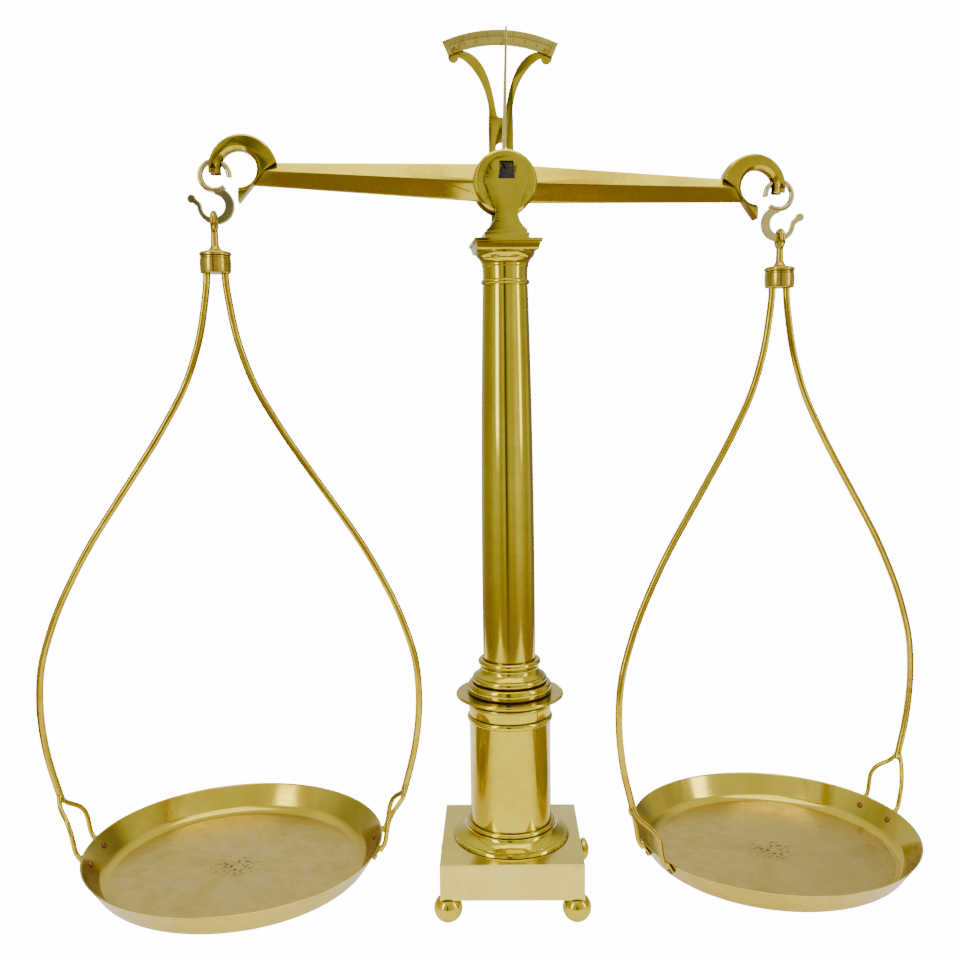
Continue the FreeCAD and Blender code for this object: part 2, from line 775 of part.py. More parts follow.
def needle():
    """Flat pointer, let into the boss and tapering up to the scale plate."""
    foot_half = needle_foot_width / 2
    tip_half = needle_tip_width / 2
    corners = [point(-foot_half, 0, pivot_z + needle_foot), point(foot_half, 0, pivot_z + needle_foot),
               point(foot_half, 0, pivot_z + boss_radius), point(tip_half, 0, pivot_z + needle_reach),
               point(-tip_half, 0, pivot_z + needle_reach), point(-foot_half, 0, pivot_z + boss_radius)]
    blade = slab(polygon_face(corners), needle_thickness)
    blade.translate(point(0, needle_y, 0))
    return tilted(blade)


def end_knife_way(side):
    """The groove in a neck's tip that the end knife is let into."""
    knife = prism_knife(2 * neck_depth, end_knife_height, end_knife_half_width, True)
    knife.translate(point(side * beam_half_span, 0, pivot_z - end_knife_drop))
    return knife


def swan_neck(side):
    """Curved horn on the arm's end, slotted at its tip for the hook."""
    knife_z = pivot_z - end_knife_drop
    centre_x = side * (beam_half_span - neck_inset)
    centre_z = knife_z - neck_drop
    outer = cylinder(neck_outer_radius, neck_depth, centre_x, -neck_depth / 2, centre_z, ACROSS)
    rim = [edge for edge in outer.Edges if edge.Length > 6 * neck_outer_radius]
    outer = outer.makeChamfer(neck_chamfer, rim)
    inner_x = centre_x + side * neck_offset
    inner = cylinder(neck_inner_radius, neck_depth, inner_x, -neck_depth / 2, centre_z, ACROSS)
    horn = outer.cut(inner)
    for face_y in (-1, 1):
        lip = Part.makeCone(neck_inner_radius + neck_lip_chamfer, neck_inner_radius,
                            neck_lip_chamfer, point(inner_x, face_y * neck_depth / 2, centre_z),
                            ACROSS * -face_y)
        horn = horn.cut(lip)
    horn = horn.common(beyond_cut(side))
    under = block(4 * neck_outer_radius, 2 * neck_depth, 4 * neck_outer_radius,
                  inner_x + side * 2 * neck_outer_radius, 0, knife_z - tip_drop - 4 * neck_outer_radius)
    horn = horn.cut(under)
    slot_width = 2 * neck_inset
    slot = block(slot_width, tip_slot, tip_slot_height + tip_drop,
                 side * (beam_half_span - neck_inset * 0.32 + slot_width / 2), 0,
                 knife_z - tip_drop)
    horn = horn.cut(slot).cut(end_knife_way(side))
    return tilted(horn)


def end_knife(side):
    knife = prism_knife(neck_depth - 1.0, end_knife_height, end_knife_half_width, True)
    knife.translate(point(side * beam_half_span, 0, pivot_z - end_knife_drop))
    return tilted(knife)


# ---------------------------------------------------------------- hook, eye and ferrule
def outward(shape, side):
    """Shapes are drawn opening to the right; the left ones are their mirror images."""
    return shape if side > 0 else shape.mirror(ORIGIN, ALONG)


def s_hook(side):
    """A round wire ring over the knife, forged flat into a crescent with a curled tip."""
    ring_z = -(hook_ring_radius - hook_wire / 2) - knife_gap
    ring = ring_arc(hook_ring_radius, hook_wire, -132, 187, point(0, 0, ring_z))
    disc = cylinder(crescent_radius, hook_flat, crescent_shift, -hook_flat / 2, -crescent_drop, ACROSS)
    hollow = cylinder(crescent_inner_radius, hook_flat * 2, seat_shift, -hook_flat, -seat_drop, ACROSS)
    mouth = [point(seat_shift, 0, -seat_drop), point(3 * crescent_radius, 0, -seat_drop + 1.5),
             point(3 * crescent_radius, 0, 0), point(seat_shift - 3.0, 0, 0)]
    crescent = disc.cut(hollow).cut(slab(polygon_face(mouth), hook_flat * 2))
    tip_x = crescent_shift + crescent_radius
    tip_z = -crescent_drop
    curl_x = crescent_shift + curl_shift
    curl_z = -crescent_drop + curl_rise
    inner_x = seat_shift + crescent_inner_radius
    beak = [point(inner_x, 0, tip_z - 0.8), point(tip_x, 0, tip_z - 0.8),
            point(curl_x - curl_radius * 0.2, 0, curl_z - curl_radius * 0.9),
            point(curl_x, 0, curl_z), point(curl_x - curl_radius * 0.98, 0, curl_z),
            point(inner_x + 0.6, 0, tip_z + 2.0)]
    curl = cylinder(curl_radius, hook_flat, curl_x, -hook_flat / 2, curl_z, ACROSS)
    whole = fused([ring, crescent, slab(polygon_face(beak), hook_flat), curl])
    hook = outward(whole, side)
    hook.translate(end_knife_place(side))
    return hook


def seat_place(side):
    """Where the eye bears in the crescent, and the line that everything below hangs on."""
    knife = end_knife_place(side)
    return knife + point(side * seat_shift, 0, -seat_drop - crescent_inner_radius)


def hang(side):
    """The line through the eye, ferrule and pan."""
    return seat_place(side)


def eye_levels():
    """Heights under the seat: ring centre, stem head, disc top and disc foot."""
    ring_z = eye_gap - eye_inner_radius
    stem_head = ring_z - eye_inner_radius - eye_wire / 2
    disc_top = stem_head - stem_length
    disc_foot = disc_top - eye_disc_thickness
    return ring_z, stem_head, disc_top, disc_foot


def eye_bolt(side):
    """Eye, flared stem and domed disc, with a pin down into the ferrule."""
    ring_z, stem_head, disc_top, disc_foot = eye_levels()
    ring = Part.makeTorus(eye_inner_radius + eye_wire / 2, eye_wire / 2, point(0, 0, ring_z), ALONG)
    flare = stem_radius + stem_flare
    steps = [
        (eye_disc_thickness * 0.4, eye_disc_radius - 0.6, eye_disc_radius, 0.25),
        (eye_disc_thickness * 0.6, eye_disc_radius, flare + 1.0, 1.2),
        (stem_length * 0.4, flare, stem_radius, -0.75),
        (stem_length * 0.6 + eye_wire / 2, stem_radius, stem_radius * 0.85, 0.1),
    ]
    stem = turning(disc_foot, steps, 0.0)
    pin_length = ferrule_height - ferrule_floor + swivel_nut_height() + 0.4
    pin = cylinder(swivel_pin_diameter / 2 - running, pin_length, 0, 0, disc_foot - pin_length)
    whole = fused([ring, stem, pin])
    whole.translate(hang(side))
    return whole


def swivel_nut_height():
    return 2.2


def swivel_nut(side):
    """Round nut riveted on the eye's pin, inside the ferrule."""
    foot = eye_levels()[3]
    top = foot - (ferrule_height - ferrule_floor) - free
    nut = cylinder(swivel_pin_diameter * 0.72, swivel_nut_height() - free, 0, 0,
                   top - swivel_nut_height() + free)
    nut = nut.cut(cylinder(swivel_pin_diameter / 2 - running, ferrule_height, 0, 0,
                           top - swivel_nut_height()))
    nut.translate(hang(side))
    return nut


def ferrule_foot():
    return eye_levels()[3] - free - ferrule_height


def ferrule(side):
    """Turned cup that turns under the eye and holds the two rods."""
    top = eye_levels()[3] - free
    foot = ferrule_foot()
    steps = [(ferrule_height * 0.5, ferrule_radius - 0.2, ferrule_radius, 0.08),
             (ferrule_height * 0.5, ferrule_radius, ferrule_radius - 0.7, 0.15)]
    body = turning(foot, steps, 0.0)
    body = body.cut(cylinder(swivel_pin_diameter / 2, ferrule_height * 2, 0, 0, foot - 1.0))
    cavity_radius = swivel_pin_diameter * 0.72 + free
    body = body.cut(cylinder(cavity_radius, ferrule_floor, 0, 0, foot))
    for x in (-1, 1):
        hole = cylinder(rod_diameter / 2, ferrule_floor, x * rod_pitch / 2, 0, foot)
        body = body.cut(hole)
    body = turned_by(body, pan_turn(side))
    body.translate(hang(side))
    return body


def pan_turn(side):
    return left_pan_turn if side < 0 else right_pan_turn


# ---------------------------------------------------------------- rods and pans
def rim_level():
    """The pan's rim under the seat of the eye."""
    return ferrule_foot() - bail_drop


def bail_rod(side, end):
    """One bowed rod, forked at its foot into two prongs with riveted tabs."""
    rim = rim_level()
    head = [point(rod_pitch / 2, 0, ferrule_foot() + ferrule_floor),
            point(rod_pitch / 2, 0, ferrule_foot() - rod_straight)]
    bow = [point(x, 0, rim + z) for x, z in bail_points]
    split = point(prong_split_radius, 0, rim + prong_split_height)
    beyond = split + (split - bow[-1]).normalize() * prong_diameter
    pieces = [wire_rod(head + bow + [beyond], rod_diameter)]
    lean = math.radians(pan_wall_lean)
    stand_off = (prong_diameter / 2 + tab_gap * 8) / math.cos(lean)
    for hand in (-1, 1):
        angle = math.radians(prong_half_angle) * hand
        facing = FreeCAD.Rotation(UP, math.degrees(angle))
        foot_drop = rivet_drop - rivet_head_diameter / 2 - prong_diameter * 0.3
        foot_point = facing.multVec(point(pan_radius - foot_drop * math.tan(lean) + stand_off, 0,
                                          rim - foot_drop))
        knee = facing.multVec(point(pan_radius + stand_off + knee_rise * math.tan(lean), 0,
                                    rim + knee_rise))
        shoulder = facing.multVec(point(pan_radius + shoulder_reach, 0, rim + shoulder_rise))
        start = split + (bow[-1] - split).normalize() * prong_diameter
        spread = split + point(-0.6, hand * 4.6, -5.2)
        prong = wire_rod([start, spread, shoulder, knee, foot_point], prong_diameter)
        tab = block(tab_thickness, tab_width, tab_drop, wall_centre(), 0, rim - tab_drop + 0.8)
        tab = tab.makeFillet(tab_thickness * 0.45, tab.Edges)
        tab = turned_by(tab, pan_wall_lean, point(wall_centre(), 0, rim - rivet_drop), ACROSS)
        tab = turned_by(tab, math.degrees(angle))
        pieces += [prong, tab]
    whole = fused(pieces)
    for hand in (-1, 1):
        whole = whole.cut(rivet_shank(hand, 0.0))
    if end < 0:
        whole = turned_by(whole, 180)
    whole = turned_by(whole, pan_turn(side))
    whole.translate(hang(side))
    return whole


def wall_radius(drop):
    """Inner radius of the pan's leaning wall, at a depth under its rim."""
    lean = math.radians(pan_wall_lean)
    return pan_radius - pan_thickness / math.cos(lean) - drop * math.tan(lean)


def wall_centre():
    slant = math.cos(math.radians(pan_wall_lean))
    return wall_radius(rivet_drop) + (pan_thickness + tab_thickness / 2 + tab_gap) / slant


def rivet_shank(hand, spare):
    """The rivet's shank, square to the wall, at one prong."""
    length = (pan_thickness + tab_thickness) * 3
    shank = cylinder(rivet_diameter / 2 + spare, length, -length / 2, 0, 0, ALONG)
    return rivet_placed(shank, hand)


def rivet_placed(shape, hand):
    shape.rotate(ORIGIN, ACROSS, pan_wall_lean)
    shape.translate(point(wall_radius(rivet_drop), 0, rim_level() - rivet_drop))
    return turned_by(shape, prong_half_angle * hand)


def pan_rivets(side):
    """Four rivets with domed heads inside the wall and over the tabs."""
    rivets = []
    inner = -rivet_head_height * 0.5
    outer = pan_thickness + tab_gap + tab_thickness
    for end in (0, 180):
        for hand in (-1, 1):
            shank = cylinder(rivet_diameter / 2, outer - inner, inner, 0, 0, ALONG)
            heads = []
            for place, facing in ((-tab_gap, -1), (outer, 1)):
                head = cylinder(rivet_head_diameter / 2, rivet_head_height, 0, 0, 0, ALONG * facing)
                rim_edges = [edge for edge in head.Edges
                             if abs(edge.BoundBox.XMin - facing * rivet_head_height) < 0.01
                             and abs(edge.BoundBox.XMax - facing * rivet_head_height) < 0.01]
                head = head.makeFillet(rivet_head_height * 0.7, rim_edges)
                head.translate(point(place, 0, 0))
                heads.append(head)
            rivet = rivet_placed(fused([shank] + heads), hand)
            rivets.append(turned_by(rivet, end))
    whole = Part.makeCompound(rivets)
    whole = turned_by(whole, pan_turn(side))
    whole.translate(hang(side))
    return whole


def pan(side):
    """Shallow spun dish: flat floor, rounded foot and flared wall."""
    rim = rim_level()
    floor_z = rim - pan_depth
    sweep = math.radians(90 - pan_wall_lean)
    reach = pan_radius - pan_floor_radius
    foot_radius = (reach * math.sin(sweep) - pan_depth * math.cos(sweep)) / (1 - math.cos(sweep))
    centre_z = floor_z + foot_radius

    def on_foot(angle, inset):
        radius = foot_radius - inset
        return point(pan_floor_radius + radius * math.sin(angle), 0,
                     centre_z - radius * math.cos(angle))

    t = pan_thickness
    rim_out = point(pan_radius, 0, rim)
    rim_in = point(wall_radius(0), 0, rim)
    edges = [
        Part.LineSegment(point(0, 0, floor_z), on_foot(0, 0)).toShape(),
        Part.Arc(on_foot(0, 0), on_foot(sweep / 2, 0), on_foot(sweep, 0)).toShape(),
        Part.LineSegment(on_foot(sweep, 0), rim_out).toShape(),
        Part.LineSegment(rim_out, rim_in).toShape(),
        Part.LineSegment(rim_in, on_foot(sweep, t)).toShape(),
        Part.Arc(on_foot(sweep, t), on_foot(sweep / 2, t), on_foot(0, t)).toShape(),
        Part.LineSegment(on_foot(0, t), point(0, 0, floor_z + t)).toShape(),
        Part.LineSegment(point(0, 0, floor_z + t), point(0, 0, floor_z)).toShape(),
    ]
    dish = flat_face(edges).revolve(ORIGIN, UP, 360)
    for end in (0, 180):
        for hand in (-1, 1):
            dish = dish.cut(turned_by(rivet_shank(hand, 0.0), end))
    dish = turned_by(dish, pan_turn(side))
    dish.translate(hang(side))
    return dish


# ---------------------------------------------------------------- lift gear
def side_knob():
    """Low domed knob on the arbor, at the plinth's right side."""
    start = plinth_width / 2 + bush_flange + free
    foot = cylinder(knob_diameter / 2, knob_height * 0.45, start, 0, control_z, ALONG)
    dome_height = knob_height * 0.55
    dome_radius = ((knob_diameter / 2) ** 2 + dome_height ** 2) / (2 * dome_height)
    ball = Part.makeSphere(dome_radius,
                           point(start + knob_height - dome_radius, 0, control_z))
    keep = cylinder(knob_diameter / 2, dome_height, start + knob_height * 0.45, 0, control_z, ALONG)
    whole = fused([foot, ball.common(keep)])
    whole = whole.cut(arbor_rod())
    return turned_by(whole, plinth_turn)


def arbor_rod():
    end = plinth_width / 2 + bush_flange + free + knob_height * 0.5
    start = -cam_width / 2 - plinth_wall
    return cylinder(arbor_diameter / 2 - running, end - start, start, 0, control_z, ALONG)


def lift_arbor():
    return turned_by(arbor_rod(), plinth_turn)


def arbor_bush():
    """Flanged bush pressed into the plinth's right wall."""
    inner_face = plinth_width / 2 - plinth_wall
    body = cylinder(bush_diameter / 2, plinth_wall, inner_face, 0, control_z, ALONG)
    flange = cylinder(bush_diameter * 0.62, bush_flange, plinth_width / 2, 0, control_z, ALONG)
    whole = fused([body, flange])
    bore = cylinder(arbor_diameter / 2, plinth_wall * 4, inner_face - plinth_wall, 0, control_z, ALONG)
    return turned_by(whole.cut(bore), plinth_turn)


def cam_bottom_z():
    """Foot of the lift rod, just over the cam's lowest height."""
    return control_z + cam_least_radius + knife_gap


def lift_cam():
    """Cam for a flat foot: the height over the arbor grows evenly over a half turn."""
    stations = 24
    rise_rate = lift / math.pi
    rising = []
    for index in range(stations + 1):
        share = index / stations
        angle = math.radians(90) + math.pi * share
        height = cam_least_radius + lift * share
        rising.append(point(0, height * math.cos(angle) - rise_rate * math.sin(angle),
                            height * math.sin(angle) + rise_rate * math.cos(angle)))
    low_side = math.radians(60)
    low = point(0, cam_least_radius * math.cos(low_side), cam_least_radius * math.sin(low_side))
    curve = Part.BSplineCurve()
    curve.interpolate(rising)
    edges = [
        curve.toShape(),
        Part.Arc(rising[-1], point(0, cam_least_radius + lift * 0.4, 0), low).toShape(),
        Part.LineSegment(low, rising[0]).toShape(),
    ]
    cam = flat_face(edges).extrude(point(cam_width, 0, 0))
    cam.translate(point(-cam_width / 2, 0, control_z))
    cam = cam.cut(arbor_rod())
    return turned_by(cam, plinth_turn)


def lift_rod():
    """Long rod up through the tie tube, with a foot on the cam."""
    foot_z = cam_bottom_z()
    foot_piece = cylinder(rod_foot_diameter / 2, rod_foot_height, 0, 0, foot_z)
    rod = cylinder(lift_rod_diameter / 2, slot_floor_z + free - foot_z, 0, 0, foot_z)
    return fused([foot_piece, rod])


def lift_pad():
    """Flat pad on the rod's head, which rises under the beam's boss."""
    pad = cylinder(pad_diameter / 2, pad_height, 0, 0, slot_floor_z + free)
    return pad


def tie_tube():
    """Tube with threaded ends that draws plinth, pedestal, column and fork together."""
    foot_z = plinth_top - plinth_wall
    head_z = abacus_top + tie_thread_in_fork
    outer = cylinder(tie_tube_diameter / 2, head_z - foot_z, 0, 0, foot_z)
    bore = cylinder(lift_rod_diameter / 2 + free, head_z - foot_z, 0, 0, foot_z)
    return outer.cut(bore)


def tie_washer_foot():
    return plinth_top


def tie_nut_foot():
    return tie_washer_foot() + tie_washer_thickness


def tie_washer():
    washer = cylinder(tie_washer_diameter / 2, tie_washer_thickness, 0, 0, tie_washer_foot())
    return washer.cut(cylinder(tie_tube_diameter / 2, tie_washer_thickness, 0, 0, tie_washer_foot()))


def tie_nut():
    radius = tie_nut_width / math.sqrt(3)
    corners = [point(radius * math.cos(math.radians(60 * k)), radius * math.sin(math.radians(60 * k)),
                     tie_nut_foot()) for k in range(6)]
    nut = polygon_face(corners).extrude(point(0, 0, tie_nut_height))
    return nut.cut(cylinder(tie_tube_diameter / 2, tie_nut_height, 0, 0, tie_nut_foot()))


# ---------------------------------------------------------------- all the pieces
def all_pieces():
    pieces = {
        "plinth": plinth(),
        "base_moulding": base_moulding(),
        "pedestal_drum": pedestal_drum(),
        "pedestal_brim": brim(),
        "column_base": column_base(),
        "column_shaft": column_shaft(),
        "capital": capital(),
        "fork": fork(),
        "bearing_front": bearing(-1),
        "bearing_back": bearing(1),
        "scale_bracket": scale_bracket(),
        "scale_plate": scale_plate(),
        "plate_screws": plate_screws(),
        "bracket_screws": bracket_screws(),
        "tie_tube": tie_tube(),
        "tie_washer": tie_washer(),
        "tie_nut": tie_nut(),
        "arbor_bush": arbor_bush(),
        "side_knob": side_knob(),
        "lift_arbor": lift_arbor(),
        "lift_cam": lift_cam(),
        "lift_rod": lift_rod(),
        "lift_pad": lift_pad(),
        "beam_arms": beam_arms(),
        "boss_plate_front": boss_plate(-1),
        "boss_plate_back": boss_plate(1),
        "boss_pins": boss_screws(),
        "centre_knife": centre_knife(),
        "needle": needle(),
    }
    for name_x, side_x in (("left", -1), ("right", 1)):
        for name_y, side_y in (("front", -1), ("back", 1)):
            pieces[f"foot_{name_y}_{name_x}"] = foot(side_x, side_y)
    for side in (-1, 1):
        name = side_name(side)
        pieces[f"{name}_swan_neck"] = swan_neck(side)
        pieces[f"{name}_end_knife"] = end_knife(side)
        pieces[f"{name}_hook"] = s_hook(side)
        pieces[f"{name}_eye_bolt"] = eye_bolt(side)
        pieces[f"{name}_swivel_nut"] = swivel_nut(side)
        pieces[f"{name}_ferrule"] = ferrule(side)
        pieces[f"{name}_outer_rod"] = bail_rod(side, side)
        pieces[f"{name}_inner_rod"] = bail_rod(side, -side)
        pieces[f"{name}_pan_rivets"] = pan_rivets(side)
        pieces[f"{name}_pan"] = pan(side)
    return pieces


def main():
    os.makedirs("parts", exist_ok=True)
    for name, shape in all_pieces().items():
        shape.exportStep(f"parts/{name}.step")
        box = shape.BoundBox
        print(f"{name:20s} solids {len(shape.Solids)} valid {shape.isValid()} "
              f"volume {shape.Volume:10.1f} z {box.ZMin:7.2f} to {box.ZMax:7.2f}")
    print(f"plinth top {plinth_top:.2f}, boss {boss_z:.2f}, pivot {pivot_z:.2f}, "
          f"left seat {seat_place(-1)}, right seat {seat_place(1)}")


main()
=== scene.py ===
# %% [markdown]
# # A brass column scale, one piece at a time
# This lesson dresses a beam scale in brass: a turned column on a square plinth, a beam that rocks on a
# steel knife, and two pans on bowed rods. The measured solids come in first as a fixed frame. Each
# cell then makes one piece or one finish, and prints what it made.

# %% Load the frame
import bpy, bmesh, json, math
from mathutils import Matrix, Vector


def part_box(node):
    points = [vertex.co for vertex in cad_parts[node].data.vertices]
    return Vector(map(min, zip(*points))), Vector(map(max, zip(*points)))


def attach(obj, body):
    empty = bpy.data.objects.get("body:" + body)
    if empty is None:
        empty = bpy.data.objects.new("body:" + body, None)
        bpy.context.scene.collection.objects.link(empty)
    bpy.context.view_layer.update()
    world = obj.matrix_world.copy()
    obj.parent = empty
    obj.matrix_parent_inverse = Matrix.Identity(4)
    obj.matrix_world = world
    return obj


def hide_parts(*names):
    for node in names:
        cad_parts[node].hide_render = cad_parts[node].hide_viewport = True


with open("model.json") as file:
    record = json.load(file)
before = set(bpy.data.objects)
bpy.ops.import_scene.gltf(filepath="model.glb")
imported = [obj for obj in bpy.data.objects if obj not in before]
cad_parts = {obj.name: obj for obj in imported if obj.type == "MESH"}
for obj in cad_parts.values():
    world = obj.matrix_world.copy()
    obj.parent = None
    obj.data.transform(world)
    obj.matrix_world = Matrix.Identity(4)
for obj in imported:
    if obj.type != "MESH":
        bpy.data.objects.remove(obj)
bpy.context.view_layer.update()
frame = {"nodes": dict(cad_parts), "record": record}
print("solids in the frame:", len(frame["nodes"]))

# %% [markdown]
# Lengths on a drawing of this scale are in millimetres, and Blender works in metres. One factor
# turns the first into the second, and the places of pieces are read from the frame's own boxes, so
# each one lands on its solid.

# %% Places that the pieces share
MM = 0.001


def middle(node):
    low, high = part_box(node)
    return (low + high) / 2


PLINTH_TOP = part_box("plinth")[1].z
PIVOT_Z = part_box("centre_knife")[0].z
SIDES = {"left": -1, "right": 1}
print("plinth top", round(PLINTH_TOP, 4), "pivot", round(PIVOT_Z, 4))

# %% [markdown]
# The camera stands at about three fifths of the scale's height and looks slightly down, with a lens
# near 38 mm and a very small vertical shift. A camera looks along its own -Z, so its three axes
# are worked out first and then put into one matrix: the right-hand side, the top, and the way back.

# %% Camera
LENS = 38.43
CAMERA_DISTANCE = 0.7256
CAMERA_HEIGHT = 0.3790
CAMERA_ROUND = math.radians(-7.025)
CAMERA_AIM = math.radians(1.527)
CAMERA_DOWN = math.radians(5.062)
CAMERA_ROLL = math.radians(-0.754)
CAMERA_RISE = -0.0172


def camera_matrix():
    place = Vector((math.sin(CAMERA_ROUND), -math.cos(CAMERA_ROUND), 0)) * CAMERA_DISTANCE
    place.z = CAMERA_HEIGHT
    heading = CAMERA_ROUND + CAMERA_AIM
    level = Vector((-math.sin(heading), math.cos(heading), 0))
    side = Vector((math.cos(heading), math.sin(heading), 0))
    ahead = level * math.cos(CAMERA_DOWN) - Vector((0, 0, 1)) * math.sin(CAMERA_DOWN)
    over = level * math.sin(CAMERA_DOWN) + Vector((0, 0, 1)) * math.cos(CAMERA_DOWN)
    right = side * math.cos(CAMERA_ROLL) + over * math.sin(CAMERA_ROLL)
    top = over * math.cos(CAMERA_ROLL) - side * math.sin(CAMERA_ROLL)
    turn = Matrix((right, top, -ahead)).transposed().to_4x4()
    return Matrix.Translation(place) @ turn


camera = bpy.data.objects.new("camera", bpy.data.cameras.new("camera"))
camera.data.sensor_width = 36
camera.data.lens = LENS
camera.data.shift_y = CAMERA_RISE
camera.matrix_world = camera_matrix()
bpy.context.scene.collection.objects.link(camera)
bpy.context.scene.camera = camera
print("camera at", [round(v, 3) for v in camera.matrix_world.translation])

# %% [markdown]
# Polished metal shows little of its own colour and much of the room, so the room is part of the
# finish. This one is a plain pale studio: a white floor, broad white light, and a few darker
# stretches between the light panels, which give round brass its upright bands. The dark stretches
# are drawn in the world's colour by compass direction. Past the floor's edge the room turns a dark
# wood brown, and the camera itself sees plain white.

# %% Room: what the metal reflects
ROOM_LIGHT = 0.95
PLAIN_WHITE = 15.0
CEILING_WHITE = (1.15, 1.13, 1.06, 1)
TABLE_BROWN = (0.40, 0.27, 0.15, 1)
# Each stretch of the room: degrees to the right of straight in front, and brightness.
ROOM_BANDS = [
    (-180, 0.95), (-150, 0.85), (-124, 0.50), (-104, 0.48), (-82, 0.62), (-66, 0.95), (-50, 0.95),
    (-42, 0.80), (-36, 0.62), (-29, 0.66), (-24, 0.95), (-18, 0.95), (-14, 0.12), (-8, 0.05),
    (-4, 0.62), (6, 0.88), (20, 0.80), (26, 0.95), (36, 1.35), (52, 1.20), (66, 0.80), (84, 0.62),
    (104, 0.85), (124, 0.28), (146, 0.45), (166, 0.95),
]


def world_height(nodes, links, upward, low, high):
    """How far a direction has climbed from one height to another, from 0 to 1."""
    share = nodes.new("ShaderNodeMapRange")
    share.interpolation_type = "SMOOTHSTEP"
    share.inputs["From Min"].default_value = low
    share.inputs["From Max"].default_value = high
    links.new(upward, share.inputs["Value"])
    return share.outputs[0]


def world_blend(nodes, links, share, first, second):
    """The first colour, giving way to a plain second one by a share."""
    blend = nodes.new("ShaderNodeMix")
    blend.data_type = "RGBA"
    blend.inputs[7].default_value = second
    links.new(share, blend.inputs[0])
    links.new(first, blend.inputs[6])
    return blend.outputs[2]


def room_world():
    world = bpy.data.worlds.new("studio")
    bpy.context.scene.world = world
    world.use_nodes = True
    nodes, links = world.node_tree.nodes, world.node_tree.links
    nodes.clear()
    where = nodes.new("ShaderNodeTexCoord")
    split = nodes.new("ShaderNodeSeparateXYZ")
    links.new(where.outputs["Generated"], split.inputs[0])
    compass = nodes.new("ShaderNodeMath")
    compass.operation = "ARCTAN2"
    links.new(split.outputs["X"], compass.inputs[0])
    toward = nodes.new("ShaderNodeMath")
    toward.operation = "MULTIPLY"
    toward.inputs[1].default_value = -1.0
    links.new(split.outputs["Y"], toward.inputs[0])
    links.new(toward.outputs[0], compass.inputs[1])
    share = nodes.new("ShaderNodeMapRange")
    share.inputs["From Min"].default_value = -math.pi
    share.inputs["From Max"].default_value = math.pi
    links.new(compass.outputs[0], share.inputs["Value"])
    bands = nodes.new("ShaderNodeValToRGB")
    ramp = bands.color_ramp
    ramp.interpolation = "EASE"
    while len(ramp.elements) > 1:
        ramp.elements.remove(ramp.elements[-1])
    for index, (degrees, level) in enumerate(ROOM_BANDS):
        place = (degrees + 180) / 360
        stop = ramp.elements[0] if index == 0 else ramp.elements.new(place)
        stop.position = place
        stop.color = (level, level * 0.985, level * 0.94, 1)
    links.new(share.outputs[0], bands.inputs[0])
    above = world_height(nodes, links, split.outputs["Z"], 0.35, 0.80)
    walls = world_blend(nodes, links, above, bands.outputs[0], CEILING_WHITE)
    below = world_height(nodes, links, split.outputs["Z"], -0.10, -0.32)
    room = world_blend(nodes, links, below, walls, TABLE_BROWN)
    light = nodes.new("ShaderNodeBackground")
    light.inputs["Strength"].default_value = ROOM_LIGHT
    links.new(room, light.inputs["Color"])
    plain = nodes.new("ShaderNodeBackground")
    plain.inputs["Color"].default_value = (1, 1, 1, 1)
    plain.inputs["Strength"].default_value = PLAIN_WHITE
    ray = nodes.new("ShaderNodeLightPath")
    choose = nodes.new("ShaderNodeMixShader")
    links.new(ray.outputs["Is Camera Ray"], choose.inputs[0])
    links.new(light.outputs[0], choose.inputs[1])
    links.new(plain.outputs[0], choose.inputs[2])
    out = nodes.new("ShaderNodeOutputWorld")
    links.new(choose.outputs[0], out.inputs["Surface"])
    print("room bands:", len(ROOM_BANDS))


room_world()

# %% [markdown]
# Three soft lights stand outside the picture: a tall one on each side, as windows would be, and a
# broad one overhead. They aren't seen by the camera, but the brass reflects them.

# %% Soft lights


def soft_light(name, place, aim, size, power):
    data = bpy.data.lights.new(name, "AREA")
    data.shape = "RECTANGLE"
    data.size, data.size_y = size
    data.energy = power
    lamp = bpy.data.objects.new(name, data)
    lamp.location = place
    lamp.rotation_euler = (Vector(aim) - Vector(place)).to_track_quat("-Z", "Y").to_euler()
    lamp.visible_camera = False
    bpy.context.scene.collection.objects.link(lamp)


CENTRE = (0, 0, 0.3)
soft_light("window_left", (-1.5, -1.3, 1.0), CENTRE, (0.5, 1.6), 16)
soft_light("window_right", (1.7, -1.0, 0.9), CENTRE, (0.35, 1.4), 9)
soft_light("ceiling", (0.1, -0.2, 2.0), (0, 0.05, 0), (1.5, 1.5), 16)
print("lights:", len(bpy.data.lights))

# %% [markdown]
# The floor is one square in pale matt paint, which glows a little and is plain white to the
# camera.

# %% Floor
FLOOR_HALF = 0.55
FLOOR_GLOW = 0.62


